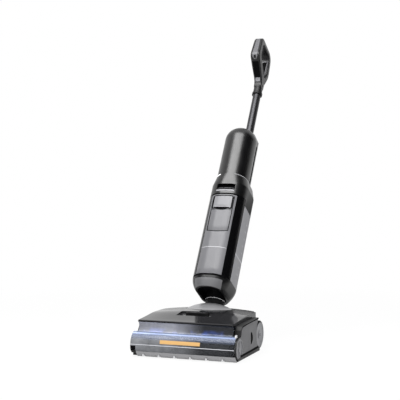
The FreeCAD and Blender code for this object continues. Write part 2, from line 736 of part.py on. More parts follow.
def suction_motor():
    """Brushless suction motor in its can, open round the fan."""
    can = rod_z(0, HOUSING_Y, 30, 484, 560)
    fan_house = tube_z(0, HOUSING_Y, 37.5, 36, 559, 584)
    deck = rod_z(0, HOUSING_Y, 37.5, 557, 560)
    bore = rod_z(0, HOUSING_Y, 4.06, 540, 570)
    return can.fuse([fan_house, deck]).cut(bore)


def impeller():
    """Fan of the suction motor, on its shaft."""
    shaft = rod_z(0, HOUSING_Y, 4, 545, 580)
    plate = rod_z(0, HOUSING_Y, 34, 563, 565)
    blades = []
    for i in range(9):
        blade = box(8, 33, HOUSING_Y - 0.8, HOUSING_Y + 0.8, 564.5, 578)
        blade.rotate(V(0, HOUSING_Y, 0), V(0, 0, 1), i * 40)
        blades.append(blade)
    return shaft.fuse([plate] + blades)


def circuit_board():
    """Control board in the spine, with its larger components."""
    board = box(-24, 24, 5, 6.6, 486, 552)
    parts = [box(x, x + 9, 6, 12, z, z + 8) for x, z in ((-18, 496), (-4, 520), (8, 502), (10, 532))]
    return board.fuse(parts)


def domed_rod(radius, top, round_r):
    """Upright cylinder of the upper housing with a rounded top."""
    rod = rod_z(0, HOUSING_Y, radius, SHOULDER_TOP + 0.2, top)
    rim = [e for e in rod.Edges if abs(e.CenterOfMass.z - top) < 0.1 and e.Closed]
    return rod.makeFillet(round_r, rim)


def housing_skin(z0, z1):
    """Part of the domed housing's skin between two heights, open towards the spine."""
    skin = domed_rod(HOUSING_R, HOUSING_TOP, DOME_ROUND)
    skin = skin.cut(domed_rod(HOUSING_R - WALL, HOUSING_TOP - WALL, DOME_ROUND - WALL))
    skin = skin.cut(rod_z(0, HOUSING_Y, HOUSING_R - WALL, SHOULDER_TOP, SHOULDER_TOP + 5))
    return skin.common(box(-60, 60, -120, SPINE_FRONT - 0.4, z0, z1))


def upper_housing():
    """Glossy cylinder that holds the suction motor."""
    return housing_skin(SHOULDER_TOP, DOME_SEAM)


def dome_cap():
    """Rounded lid of the upper housing."""
    return housing_skin(DOME_SEAM + 0.4, HOUSING_TOP + 1)


def spine_form(inset):
    """The spine as a solid with a rounded top, moved in by inset."""
    half, rear, top = SPINE_HALF - inset, SPINE_REAR - inset, SPINE_TOP - inset
    plan = rounded_rectangle(half, SPINE_FRONT - 20, rear, 18 - inset, SHOULDER_TOP + 0.2)
    solid = Part.Face(plan).extrude(V(0, 0, top - SHOULDER_TOP - 0.2))
    profile = rounded_outline([(-60, 470), (rear, 470), (rear, top), (-60, top)],
                              [1, 1, SPINE_ROUND - inset, 1])
    back = rounded_outline([(-half, 470), (half, 470), (half, top), (-half, top)],
                           [1, 1, 22 - inset, 22 - inset])
    from_behind = across(back, -60, 60)
    from_behind.rotate(V(0, 0, 0), V(0, 0, 1), 90)
    return solid.common(across(profile, -60, 60)).common(from_behind)


def spine_shell():
    """Rear spine that the tube slides into."""
    solid = spine_form(0.0).common(box(-60, 60, SPINE_FRONT, 60, SHOULDER_TOP, 710))
    inner = spine_form(WALL).common(box(-60, 60, SPINE_FRONT + WALL, 60, SHOULDER_TOP, 710))
    socket = rod_z(0, 0, TUBE_R + 2.5, TUBE_BOTTOM - 4, 710).common(solid)
    return solid.cut(inner).fuse(socket).cut(rod_z(0, 0, TUBE_R, TUBE_BOTTOM, 720))


def pole_tube():
    """Aluminium tube between the body and the handle."""
    return tube_z(0, 0, TUBE_R, TUBE_R - 1.1, TUBE_BOTTOM + 0.2, TUBE_TOP)


def tube_ring():
    """Locking ring at the top of the tube."""
    return tube_z(0, 0, 17, TUBE_R, 856.5, 863.5)


# ---------------------------------------------------------------- handle


def handle_outer():
    """Outer outline of the loop handle, seen from the side."""
    points = [(-15, 864), (-15, 904), (-94, 954), (-85, 1038), (28, 1044), (33, 950), (15, 905), (15, 864)]
    return rounded_outline(points, [1, 26, 20, 22, 30, 50, 40, 1])


def handle_inner():
    """Outline of the hand opening."""
    points = [(-72, 970), (-66, 1020), (9, 1026), (16, 950), (2, 926)]
    return rounded_outline(points, [12, 14, 18, 24, 10])


def handle_width(inset):
    """Block with the loop's front outline: narrow at the throat, full at the middle."""
    widths = [(14.8, 860), (14.8, 871), (13, 886), (13.4, 908), (15.4, 938), (16, 970), (15.2, 1008),
              (12.8, 1050)]
    side = [V(x - inset, -200, z) for x, z in widths]
    wire = Part.makePolygon(side + [V(-5, -200, 1050), V(-5, -200, 860), side[0]])
    return Part.Face(wire).extrude(V(0, 400, 0))


def handle_half():
    """Right half of the loop, hollow at the tube end."""
    solid = across(handle_outer(), 0.0, HANDLE_HALF + 1)
    solid = solid.cut(across(handle_inner(), -5, HANDLE_HALF + 5)).common(handle_width(0.0))
    rim = [e for e in solid.Edges if e.CenterOfMass.x > 11 and e.CenterOfMass.z > 873
           and e.BoundBox.XMin > 8]
    solid = solid.makeFillet(4.5, rim)
    hollow = across(handle_outer().makeOffset2D(-5.0), -1, HANDLE_HALF).common(handle_width(HANDLE_WALL))
    hollow = hollow.cut(across(handle_inner().makeOffset2D(5.0), -5, HANDLE_HALF + 5))
    hollow = hollow.common(box(-5, 30, -200, 200, TUBE_TOP + 5, 1100))
    throat = rod_z(0, 0, THROAT_R, 860, 884).fuse(Part.makeCone(THROAT_R, 42, 28, V(0, 0, 884)))
    above = box(-60, 60, -200, 200, 911.5, 1100)
    solid = solid.common(throat.fuse(above))
    solid = solid.cut(rod_z(0, 0, TUBE_R, 855, TUBE_TOP + 0.3))
    return solid.cut(handle_cuts()).cut(hollow)


def handle_cuts():
    """Pockets for the front plate, soft grip and buttons."""
    cuts = [front_plate_blank(), soft_grip(), power_button_blank(SLOP, 3.0)]
    return cuts + [top_button_blank(y, SLOP, 3.0) for y in (-52, -24)]


def tilted(shape, corner, angle):
    """Turn a piece drawn at the origin about X and set it at a point of the side view."""
    shape.rotate(V(0, 0, 0), V(1, 0, 0), angle)
    shape.translate(V(0, corner[0], corner[1]))
    return shape


def front_plate_blank():
    """Light plate that follows the front of the loop round its lower bend."""
    outer = across(handle_outer().makeOffset2D(1.0), -10, 10)
    skin = outer.cut(across(handle_outer().makeOffset2D(-2.4), -11, 11))
    low, high = (953.5, 8.6), (1021.5, 6.6)
    plan = [Part.makeCylinder(r, 50, V(0, -120, z), V(0, 1, 0)) for z, r in (low, high)]
    corners = [(side * r, z) for side, (z, r) in ((1, low), (1, high), (-1, high), (-1, low))]
    corners = [V(x, -120, z) for x, z in corners]
    taper = Part.Face(Part.makePolygon(corners + corners[:1])).extrude(V(0, 50, 0))
    return skin.common(taper.fuse(plan))


def front_plate():
    """Light plate with the hole for the power button."""
    return front_plate_blank().cut(power_button_blank(SLOP, 3.0))


def power_button_blank(grow, room=0.0):
    """Oval power button at the plate's lower end, or with room its pocket."""
    flat = box(-3.5 - grow, 3.5 + grow, -1.9, 4.5 + room, -2, 2)
    ends = [Part.makeCylinder(3.5 + grow, 6.4 + room, V(0, -1.9, z), V(0, 1, 0)) for z in (-2, 2)]
    return tilted(flat.fuse(ends), (-87.8, 951), BUTTON_TILT)


def soft_grip():
    """Soft pad on the loop's lower front."""
    pad = box(-10, 10, -1.5, 2.2, -31, 23)
    return tilted(pad, (-54.5, 929), 57.7)


def top_button_blank(y, grow, room=0.0):
    """Round button on top of the loop, or with room its pocket."""
    rise = 1041.3 + (y + 30) * 0.053
    return rod_z(0, y, 6 + grow, rise - 4 - room, rise + 1.2)


# ---------------------------------------------------------------- assembly


def leaned(shape):
    """Lean an upright piece back about the pitch pivot, into the head frame."""
    done = shape.copy()
    done.rotate(V(0, 0, 0), V(1, 0, 0), -RECLINE)
    done.translate(V(0, PIVOT_Y, PIVOT_Z))
    return done


def head_nodes():
    """Every piece that stays with the floor head, in the head frame."""
    nodes = {
        "base_chassis": base_chassis(),
        "base_plate": base_plate(),
        "base_screws": base_screws(),
        "rear_squeegee": rear_squeegee(),
        "front_lip": front_lip(),
        "rear_deck_cover": rear_deck_cover(),
        "side_cover_right": side_cover_right(),
        "side_cover_left": mirrored(side_cover_left()),
        "roller_end_cap": roller_end_cap(),
        "roller_bearings": group([bearing(), mirrored(bearing())]),
        "roller_motor": roller_motor(),
        "drive_belt": drive_belt(),
        "roller_scraper": roller_scraper(),
        "spray_bar": spray_bar(),
        "suction_duct": suction_duct(),
        "led_strip": led_strip(),
        "roller_cover": roller_cover(),
        "cover_latch": cover_latch(),
        "roller_core": roller_core(),
        "roller_sleeve": roller_sleeve(),
        "roller_pulley": pulley(ROLLER_Y, ROLLER_Z, ROLLER_PULLEY_R, AXLE_R),
        "motor_pulley": motor_pulley(),
        "wheel_motors": group([wheel_motor(), mirrored(wheel_motor())]),
        "pivot_pins": group([pivot_pin(), mirrored(pivot_pin())]),
    }
    paired = {
        "wheel_tyre": wheel_tyre(),
        "wheel_hub": wheel_hub(),
    }
    for name, shape in paired.items():
        nodes[name + "_right"] = shape
        nodes[name + "_left"] = mirrored(shape)
    return nodes


def upright_nodes():
    """Neck, body and handle pieces, in the upright frame."""
    right_half = handle_half()
    return {
        "neck_shroud": neck_shroud(),
        "neck_yoke": neck_yoke(),
        "swivel_sleeve": swivel_sleeve(),
        "swivel_ring": swivel_ring(),
        "lower_cap": lower_cap(),
        "body_frame": body_frame(),
        "dirty_tank_shell": dirty_tank_shell(),
        "tank_lid": tank_lid(),
        "tank_float": tank_float(),
        "tank_filter": tank_filter(),
        "tank_latch": tank_latch(),
        "latch_spring": latch_spring(),
        "clean_tank": clean_tank(),
        "filler_plug": filler_plug(),
        "battery_cells": battery_cells(),
        "water_pump": water_pump(),
        "shoulder_cover": shoulder_cover(),
        "suction_motor": suction_motor(),
        "impeller": impeller(),
        "circuit_board": circuit_board(),
        "upper_housing": upper_housing(),
        "dome_cap": dome_cap(),
        "spine_shell": spine_shell(),
        "pole_tube": pole_tube(),
        "tube_ring": tube_ring(),
        "handle_right": right_half,
        "handle_left": mirrored(right_half),
        "front_plate": front_plate(),
        "soft_grip": soft_grip(),
        "power_button": power_button_blank(0.0),
        "mode_button": top_button_blank(-52, 0.0),
        "self_clean_button": top_button_blank(-24, 0.0),
    }


def all_nodes():
    """Every node in the part's own frame."""
    nodes = dict(head_nodes())
    for name, shape in upright_nodes().items():
        nodes[name] = leaned(shape)
    for shape in nodes.values():
        shape.translate(V(0, -ORIGIN_Y, 0))
    return nodes


def main():
    """Write one STEP file per node."""
    os.makedirs("parts", exist_ok=True)
    for name, shape in all_nodes().items():
        shape.exportStep(os.path.join("parts", name + ".step"))


main()
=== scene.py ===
"""Cordless wet dry floor scrubber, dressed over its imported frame.

Head pieces are drawn in millimetres in the head frame: x across, y back from the front lip, z up
from the floor. Neck, body and handle pieces are drawn in millimetres in the pole frame: x across,
y behind the pole, z along the pole from the pitch pivot. Both are turned into scene metres. In the
pole frame v stands for y and u for z, and s is the way walked round the body from its front.
"""

import json
import logging
import math
from dataclasses import dataclass, field
from enum import Enum
from typing import Sequence

import bmesh
import bpy
from mathutils import Matrix, Vector


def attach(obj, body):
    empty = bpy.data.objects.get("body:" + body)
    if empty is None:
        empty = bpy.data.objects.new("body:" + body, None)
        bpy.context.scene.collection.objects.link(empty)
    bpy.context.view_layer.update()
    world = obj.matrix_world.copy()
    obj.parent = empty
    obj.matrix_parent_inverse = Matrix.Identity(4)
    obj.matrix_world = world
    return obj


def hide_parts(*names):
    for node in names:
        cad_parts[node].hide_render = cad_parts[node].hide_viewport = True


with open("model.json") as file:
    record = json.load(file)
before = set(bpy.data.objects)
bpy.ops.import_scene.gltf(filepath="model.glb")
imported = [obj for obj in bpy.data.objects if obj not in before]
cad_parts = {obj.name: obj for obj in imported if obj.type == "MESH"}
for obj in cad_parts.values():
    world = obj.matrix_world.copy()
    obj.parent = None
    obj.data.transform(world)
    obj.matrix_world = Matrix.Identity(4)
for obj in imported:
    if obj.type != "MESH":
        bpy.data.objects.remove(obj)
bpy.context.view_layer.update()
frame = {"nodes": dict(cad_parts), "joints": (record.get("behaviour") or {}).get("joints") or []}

LOG = logging.getLogger("scrubber")
MM = 0.001
PIVOT_FROM_LIP = 201.2
NOISE_LOW, NOISE_HIGH = 0.3, 0.7
SIDES = (("right", 1), ("left", -1))
Point = tuple[float, float, float]
Flat = tuple[float, float]
Tree = bpy.types.NodeTree
Node = bpy.types.Node
Socket = bpy.types.NodeSocket
Mesh = bmesh.types.BMesh


class Body(Enum):
    """The bodies that the added pieces ride on."""

    HEAD = "head"
    COVER = "cover"
    COVER_LATCH = "cover_latch"
    ROLLER = "roller"
    WHEEL_RIGHT = "wheel_right"
    WHEEL_LEFT = "wheel_left"
    BODY = "body"
    DIRTY_TANK = "dirty_tank"
    CLEAN_TANK = "clean_tank"


def joint(name: str) -> dict:
    """Return the record's joint of that name."""
    return next(j for j in frame["joints"] if j["name"] == name)


PIVOT = Vector(joint("neck_pitch")["pos_m"])
POLE_AXIS = Vector(joint("body_swivel")["axis"])
LEAN = math.atan2(POLE_AXIS.y, POLE_AXIS.z)
HEAD_PLACE = Matrix.Translation((0, PIVOT.y - PIVOT_FROM_LIP * MM, 0)) @ Matrix.Scale(MM, 4)
POLE_PLACE = Matrix.Translation(PIVOT) @ Matrix.Rotation(-LEAN, 4, "X") @ Matrix.Scale(MM, 4)


# ---------------------------------------------------------------- materials


def linear(colour: str) -> tuple[float, float, float, float]:
    """Turn an sRGB hex colour into linear RGBA.

    Args:
        colour: Six hex digits with a leading #.

    Returns:
        Linear red, green, blue and an alpha of 1.
    """
    channels = []
    for start in (1, 3, 5):
        value = int(colour[start:start + 2], 16) / 255
        low = value <= 0.04045
        channels.append(value / 12.92 if low else ((value + 0.055) / 1.055) ** 2.4)
    return (channels[0], channels[1], channels[2], 1.0)


def add(tree: Tree, kind: str, settings: dict | None = None, links: dict | None = None) -> Node:
    """Add a node with its settings and its links.

    Args:
        tree: Tree that gets the node.
        kind: Blender's name for the node type.
        settings: Socket names or positions, or node properties, and their values.
        links: Input socket names or positions, and the output sockets that feed them.

    Returns:
        The new node.
    """
    node = tree.nodes.new(kind)
    later = {}
    for key, value in (settings or {}).items():
        if isinstance(key, str) and hasattr(node, key):
            setattr(node, key, value)
        else:
            later[key] = value
    for key, value in later.items():
        node.inputs[key].default_value = value
    for key, source in (links or {}).items():
        tree.links.new(source, node.inputs[key])
    return node


def empty_material(name: str) -> bpy.types.Material:
    """Return a new material with nothing in its node tree.

    Args:
        name: Name of the material.

    Returns:
        The material.
    """
    made = bpy.data.materials.new(name)
    made.use_nodes = True
    made.node_tree.nodes.clear()
    return made


def uneven(tree: Tree, coords: Socket, size: float, low: float, high: float,
           fine: float = 2.0) -> Socket:
    """Return a value that drifts between two values over soft lumps.

    Args:
        tree: The material's tree.
        coords: Coordinates of the pattern, in metres.
        size: Width of a lump in millimetres.
        low: Value in the hollows.
        high: Value on the lumps.
        fine: How many finer layers the lumps have.

    Returns:
        The drifting value.
    """
    lumps = add(tree, "ShaderNodeTexNoise", {"Scale": 1000 / size, "Detail": fine},
                {"Vector": coords})
    drift = add(tree, "ShaderNodeMapRange",
                {"From Min": NOISE_LOW, "From Max": NOISE_HIGH, "To Min": low, "To Max": high},
                {"Value": lumps.outputs["Fac"]})
    return drift.outputs["Result"]


def relief(tree: Tree, shader: Node, coords: Socket, size: float, depth: float,
           strength: float = 1.0, fine: float = 2.0) -> None:
    """Press soft lumps into a surface.

    Args:
        tree: The material's tree.
        shader: Shader whose normal is bent.
        coords: Coordinates of the pattern, in metres.
        size: Width of a lump in millimetres.
        depth: Depth in millimetres.
        strength: Share of that depth that shows.
        fine: How many finer layers the lumps have.
    """
    lumps = add(tree, "ShaderNodeTexNoise", {"Scale": 1000 / size, "Detail": fine},
                {"Vector": coords})
    pressed = add(tree, "ShaderNodeBump", {"Strength": strength, "Distance": depth * MM},
                  {"Height": lumps.outputs["Fac"]})
    tree.links.new(pressed.outputs["Normal"], shader.inputs["Normal"])


@dataclass(frozen=True)
class Finish:
    """One real material and how its surface was made.

    Colours are sRGB hex, lengths are millimetres.
    """

    name: str
    colour: str
    roughness: float
    metallic: float = 0.0
    alpha: float = 1.0
    specular: float = 0.5

    def material(self) -> bpy.types.Material:
        """Return the material, making it the first time.

        Returns:
            The material.
        """
        made = bpy.data.materials.get(self.name)
        if made:
            return made
        made = empty_material(self.name)
        tree = made.node_tree
        shader = add(tree, "ShaderNodeBsdfPrincipled", {
            "Base Color": linear(self.colour), "Roughness": self.roughness,
            "Metallic": self.metallic, "Alpha": self.alpha, "Specular IOR Level": self.specular,
        })
        add(tree, "ShaderNodeOutputMaterial", links={"Surface": shader.outputs["BSDF"]})
        coords = add(tree, "ShaderNodeTexCoord").outputs["Object"]
        self.detail(tree, shader, coords)
        return made

    def detail(self, tree: Tree, shader: Node, coords: Socket) -> None:
        """Add what this surface shows beyond one flat colour.

        Args:
            tree: The material's tree.
            shader: Its shader.
            coords: Object coordinates in metres.
        """

    def tinted(self, tree: Tree, shader: Node, coords: Socket, other: str, size: float,
               most: float) -> None:
        """Drift the colour towards another over soft lumps.

        Args:
            tree: The material's tree.
            shader: Its shader.
            coords: Object coordinates in metres.
            other: The other colour.
            size: Width of a lump in millimetres.
            most: Share of the other colour on the lumps.
        """
        share = uneven(tree, coords, size, 0.0, most, 5)
        mix = add(tree, "ShaderNodeMix",
                  {"data_type": "RGBA", 6: linear(self.colour), 7: linear(other)}, {0: share})
        tree.links.new(mix.outputs[2], shader.inputs["Base Color"])


@dataclass(frozen=True)
class TexturedAbs(Finish):
    """Spark-eroded mould texture: an even grain that breaks the highlight up.

    The real grain is about a tenth of a millimetre. It is drawn coarser so that it shows.
    """

    grain: float = 1.6
    depth: float = 0.05

    def detail(self, tree: Tree, shader: Node, coords: Socket) -> None:
        """Grain in the normal, and handling marks in the roughness."""
        relief(tree, shader, coords, self.grain, self.depth)
        worn = uneven(tree, coords, 45, self.roughness - 0.06, self.roughness + 0.06)
        tree.links.new(worn, shader.inputs["Roughness"])


@dataclass(frozen=True)
class EdgeShadedAbs(TexturedAbs):
    """Grey moulding drawn black where its surface turns away from the side: painted shade along its
    edges.
    """

    edge_shade_colour: str = "#0b0b0c"

    def detail(self, tree: Tree, shader: Node, coords: Socket) -> None:
        """Grain, and black painted shade where the surface turns away from the side."""
        super().detail(tree, shader, coords)
        facing = add(tree, "ShaderNodeSeparateXYZ",
                     links={0: add(tree, "ShaderNodeTexCoord").outputs["Normal"]})
        flat = add(tree, "ShaderNodeMath", {"operation": "ABSOLUTE"}, {0: facing.outputs["X"]})
        edge = add(tree, "ShaderNodeMapRange", {"From Min": 0.93, "From Max": 0.8},
                   {"Value": flat.outputs[0]})
        shaded_mix = add(tree, "ShaderNodeMix",
                   {"data_type": "RGBA", 6: linear(self.colour), 7: linear(self.edge_shade_colour)},
                   {0: edge.outputs["Result"]})
        tree.links.new(shaded_mix.outputs[2], shader.inputs["Base Color"])


@dataclass(frozen=True)
class PolishedAbs(Finish):
    """Polished mould, with the slight waviness and wiped-on haze of real gloss plastic."""

    haze: float = 0.06
    wave: float = 70.0

    def detail(self, tree: Tree, shader: Node, coords: Socket) -> None:
        """Haze in the roughness and a long shallow wave in the normal."""
        hazy = uneven(tree, coords, 28, self.roughness, self.roughness + self.haze, 4)
        tree.links.new(hazy, shader.inputs["Roughness"])
        relief(tree, shader, coords, self.wave, 0.25, 0.35, 0)


@dataclass(frozen=True)
class WetPolycarbonate(Finish):
    """Clear cover, lacquered black inside under the deck, with foam drying in the guard.

    The foam thins out from left to right, and that fade is also painted light: the cover and its
    window are drawn lighter on the left, where the light falls. Heights and widths are metres from
    the object's origin, and lump and bead are millimetres.
    """

    foam: str = "#828488"
    film: float = 0.3
    lump: float = 34.0
    bead: float = 9.0
    foam_and_light_thin: float = 0.055
    foam_and_light_thick: float = -0.03
    window: str = "#05070c"
    misted_and_lit: str = "#a2a4ae"
    window_alpha: float = 0.88
    deck: str = "#262628"
    stray_blue: str = "#4a6bd0"
    stray_light: float = 0.8
    stray_reach: float = 0.014
    guard_top: float = 0.0695
    deck_edge: float = 0.0965
    blur: float = 0.0006
    least_foam_and_light: float = 0.06
    patch_low: float = 0.55
    patch_size: float = 30.0

    def detail(self, tree: Tree, shader: Node, coords: Socket) -> None:
        """Cloudy film on the guard and a misted window, both lighter on the left as painted light,
        opaque deck, beads in the normal.
        """
        cloud = uneven(tree, coords, self.lump, 0.0, 1.0, 6)
        side = add(tree, "ShaderNodeSeparateXYZ", links={0: coords})
        # Painted light: the foam share, and the lighter colour with it, grows towards the left,
        # where the light falls.
        left = add(tree, "ShaderNodeMapRange",
                   {"From Min": self.foam_and_light_thin, "From Max": self.foam_and_light_thick,
                    "To Min": self.least_foam_and_light, "To Max": 1.0}, {"Value": side.outputs["X"]})
        patchy = add(tree, "ShaderNodeMapRange", {"To Min": self.patch_low, "To Max": 1.0},
                     {"Value": cloud})
        amount = add(tree, "ShaderNodeMath", {"operation": "MULTIPLY"},
                     {0: patchy.outputs["Result"], 1: left.outputs["Result"]})
        colour, dense = self.layer(tree, side.outputs["Z"], amount.outputs[0])
        tree.links.new(colour, shader.inputs["Base Color"])
        tree.links.new(dense, shader.inputs["Alpha"])
        relief(tree, shader, coords, self.bead, 0.15, 0.2, 3)
        self.stray(tree, shader, coords, side.outputs["Z"])

    def stray(self, tree: Tree, shader: Node, coords: Socket, height: Socket) -> None:
        """Faint blue emission in patches, in place of lamp light caught at the window's foot.

        Args:
            tree: The material's tree.
            shader: Its shader.
            coords: Object coordinates in metres.
            height: Height in metres.
        """
        fade = add(tree, "ShaderNodeMapRange",
                   {"From Min": self.guard_top + self.stray_reach, "From Max": self.guard_top,
                    "To Max": self.stray_light}, {"Value": height})
        above = add(tree, "ShaderNodeMath", {"operation": "GREATER_THAN", 1: self.guard_top},
                    {0: height})
        patch = uneven(tree, coords, self.patch_size, -0.6, 1.0)
        lit = add(tree, "ShaderNodeMath", {"operation": "MULTIPLY", "use_clamp": True},
                  {0: fade.outputs["Result"], 1: above.outputs[0]})
        power = add(tree, "ShaderNodeMath", {"operation": "MULTIPLY", "use_clamp": True},
                    {0: lit.outputs[0], 1: patch})
        shader.inputs["Emission Color"].default_value = linear(self.stray_blue)
        tree.links.new(power.outputs[0], shader.inputs["Emission Strength"])

    def layer(self, tree: Tree, height: Socket, foam: Socket) -> tuple[Socket, Socket]:
        """Return colour and opacity by height: guard, then window, then deck.

        Args:
            tree: The material's tree.
            height: Height in metres.
            foam: Share of foam and of the painted light on the left, 0 to 1.

        Returns:
            Colour and opacity.
        """
        wet = add(tree, "ShaderNodeMix",
                  {"data_type": "RGBA", 6: linear(self.colour), 7: linear(self.foam)}, {0: foam})
        colour, dense = wet.outputs[2], add(
            tree, "ShaderNodeMapRange",
            {"To Min": self.alpha, "To Max": min(1.0, self.alpha + self.film)},
            {"Value": foam}).outputs["Result"]
        for level, shade, mist, alpha in (
                (self.guard_top, self.window, self.misted_and_lit, self.window_alpha),
                (self.deck_edge, self.deck, self.deck, 1.0)):
            above = add(tree, "ShaderNodeMapRange",
                        {"From Min": level - self.blur, "From Max": level + self.blur},
                        {"Value": height}).outputs["Result"]
            tone = add(tree, "ShaderNodeMix",
                       {"data_type": "RGBA", 6: linear(shade), 7: linear(mist)}, {0: foam})
            mix = add(tree, "ShaderNodeMix", {"data_type": "RGBA"},
                      {0: above, 6: colour, 7: tone.outputs[2]})
            colour = mix.outputs[2]
            solid = add(tree, "ShaderNodeMix", {"data_type": "FLOAT", 3: alpha},
                        {0: above, 2: dense})
            dense = solid.outputs[0]
        return colour, dense


@dataclass(frozen=True)
class LightGuide(Finish):
    """Clear strip along the guard's top. Emission stands in for the lamp light it carries.

    Heights and widths are metres from the object's origin.
    """

    glow: str = "#5f82dc"
    core: str = "#dfe8ff"
    core_at: float = 0.066
    core_half: float = 0.0009
    foot: float = 0.05
    strength: float = 0.6
    reach: float = 0.1
    near_lamp: float = 0.9
    far_end: float = 0.1

    def detail(self, tree: Tree, shader: Node, coords: Socket) -> None:
        """A bright line that dims to the right, with a blue haze that thins out below it."""
        side = add(tree, "ShaderNodeSeparateXYZ", links={0: coords})
        height = side.outputs["Z"]
        away = add(tree, "ShaderNodeMath", {"operation": "SUBTRACT", 1: self.core_at}, {0: height})
        near = add(tree, "ShaderNodeMath", {"operation": "ABSOLUTE"}, {0: away.outputs[0]})
        line = add(tree, "ShaderNodeMapRange",
                   {"From Min": self.core_half, "From Max": self.core_half * 2.6,
                    "To Min": 1.0, "To Max": 0.0}, {"Value": near.outputs[0]})
        patches = uneven(tree, coords, 38, 0.3, 1.0, 3)
        dimming = add(tree, "ShaderNodeMapRange",
                      {"From Min": -self.reach, "From Max": self.reach, "To Min": self.near_lamp,
                       "To Max": self.far_end},
                      {"Value": side.outputs["X"]})
        patches = add(tree, "ShaderNodeMath", {"operation": "MULTIPLY"},
                      {0: patches, 1: dimming.outputs["Result"]}).outputs[0]
        below = add(tree, "ShaderNodeMapRange",
                    {"From Min": self.foot, "From Max": self.core_at, "To Min": 0.0,
                     "To Max": 1.0}, {"Value": height})
        tint = add(tree, "ShaderNodeMix",
                   {"data_type": "RGBA", 6: linear(self.glow), 7: linear(self.core)},
                   {0: line.outputs["Result"]})
        tree.links.new(tint.outputs[2], shader.inputs["Emission Color"])
        power = add(tree, "ShaderNodeMapRange",
                    {"To Min": self.strength * 0.2, "To Max": self.strength},
                    {"Value": line.outputs["Result"]})
        carried = add(tree, "ShaderNodeMath", {"operation": "MULTIPLY"},
                      {0: power.outputs["Result"], 1: patches})
        tree.links.new(carried.outputs[0], shader.inputs["Emission Strength"])
        dense = add(tree, "ShaderNodeMath", {"operation": "MAXIMUM"},
                    {0: line.outputs["Result"]})
        soft = add(tree, "ShaderNodeMath", {"operation": "MULTIPLY", 1: 0.28},
                   {0: below.outputs["Result"]})
        tree.links.new(soft.outputs[0], dense.inputs[1])
        tree.links.new(dense.outputs[0], shader.inputs["Alpha"])


@dataclass(frozen=True)
class Brushed(Finish):
    """Metal drawn or brushed along the pole: long scratches, drawn wide enough to show."""

    scratch: float = 1.2

    def detail(self, tree: Tree, shader: Node, coords: Socket) -> None:
        """Scratches stretched along the pole's axis."""
        along = add(tree, "ShaderNodeMapping",
                    {"Rotation": (LEAN, 0, 0), "Scale": (1, 1, 0.03)}, {"Vector": coords})
        drawn = along.outputs["Vector"]
        relief(tree, shader, drawn, self.scratch, 0.04, 0.5, 3)
        worn = uneven(tree, drawn, self.scratch, self.roughness - 0.06, self.roughness + 0.08, 3)
        tree.links.new(worn, shader.inputs["Roughness"])


@dataclass(frozen=True)
class Rubber(Finish):
    """Moulded rubber: dull, with a faint bloom and a pebbled skin drawn coarse enough to show."""

    bloom: str = "#3a3a3b"
    grain: float = 1.4

    def detail(self, tree: Tree, shader: Node, coords: Socket) -> None:
        """Bloom in the colour and pebbles in the normal."""
        self.tinted(tree, shader, coords, self.bloom, 25, 0.5)
        relief(tree, shader, coords, self.grain, 0.08)


@dataclass(frozen=True)
class Microfibre(Finish):
    """Wet pile: clumped fibres in soft bands, drawn coarser than a fibre so that they show."""

    tip: str = "#8d9096"
    clump: float = 4.0

    def detail(self, tree: Tree, shader: Node, coords: Socket) -> None:
        """Clumps in colour and normal."""
        self.tinted(tree, shader, coords, self.tip, self.clump, 1.0)
        relief(tree, shader, coords, self.clump, 0.9, 0.8, 5)


@dataclass(frozen=True)
class LitLens(Finish):
    """Frosted lens over a row of LEDs: brighter over each chip."""

    glow: str = "#b8d4ff"
    strength: float = 3.0
    pitch: float = 15.0

    def detail(self, tree: Tree, shader: Node, coords: Socket) -> None:
        """Emission that swells over each chip."""
        side = add(tree, "ShaderNodeSeparateXYZ", links={0: coords})
        wave = add(tree, "ShaderNodeMath", {"operation": "MULTIPLY", 1: math.tau / self.pitch / MM},
                   {0: side.outputs["X"]})
        swell = add(tree, "ShaderNodeMath", {"operation": "SINE"}, {0: wave.outputs[0]})
        power = add(tree, "ShaderNodeMapRange",
                    {"From Min": -1, "From Max": 1, "To Min": self.strength * 0.7,
                     "To Max": self.strength * 1.3}, {"Value": swell.outputs[0]})
        shader.inputs["Emission Color"].default_value = linear(self.glow)
        tree.links.new(power.outputs["Result"], shader.inputs["Emission Strength"])


# Polished black and grey ABS: a clear highlight, softened by haze and bent by a long wave.
HOUSING_GLOSS = PolishedAbs("gloss_black_abs", "#050506", 0.28, specular=0.6)
SHOULDER_GLOSS = PolishedAbs("gloss_black_abs_shoulder", "#060607", 0.28, specular=0.6)
SPINE_GREY = PolishedAbs("gloss_grey_abs_spine", "#2a2a2c", 0.1, specular=0.7)
DECK_GLOSS = PolishedAbs("gloss_black_abs_deck", "#1c1c1e", 0.22, specular=0.4)
FRAME_GLOSS = PolishedAbs("gloss_black_abs_frame", "#070708", 0.16, specular=0.22)
CAP_GREY = PolishedAbs("gunmetal_gloss_abs", "#101011", 0.28, specular=0.3)
# Smoked and frosted SAN, drawn opaque: the same gloss over a mid grey.
SMOKED_TANK = PolishedAbs("smoked_tank_san", "#67676a", 0.3, specular=0.3)
CLEAR_TANK = PolishedAbs("frosted_tank_san", "#8f8f92", 0.3, specular=0.3)
# Metallised, painted and satin mouldings: a broad soft sheen, brightest where metallised.
BRIGHT_TRIM = PolishedAbs("vacuum_metallised_abs", "#98989a", 0.34, metallic=0.5, specular=0.3)
LATCH_GREY = PolishedAbs("silver_painted_abs", "#7b7b7e", 0.34, specular=0.3)
PLATE_GREY = PolishedAbs("satin_silver_abs_plate", "#5c5c5f", 0.34, specular=0.35)
SILL_GREY = PolishedAbs("silver_painted_abs_sill", "#8b8b8e", 0.36, specular=0.2)
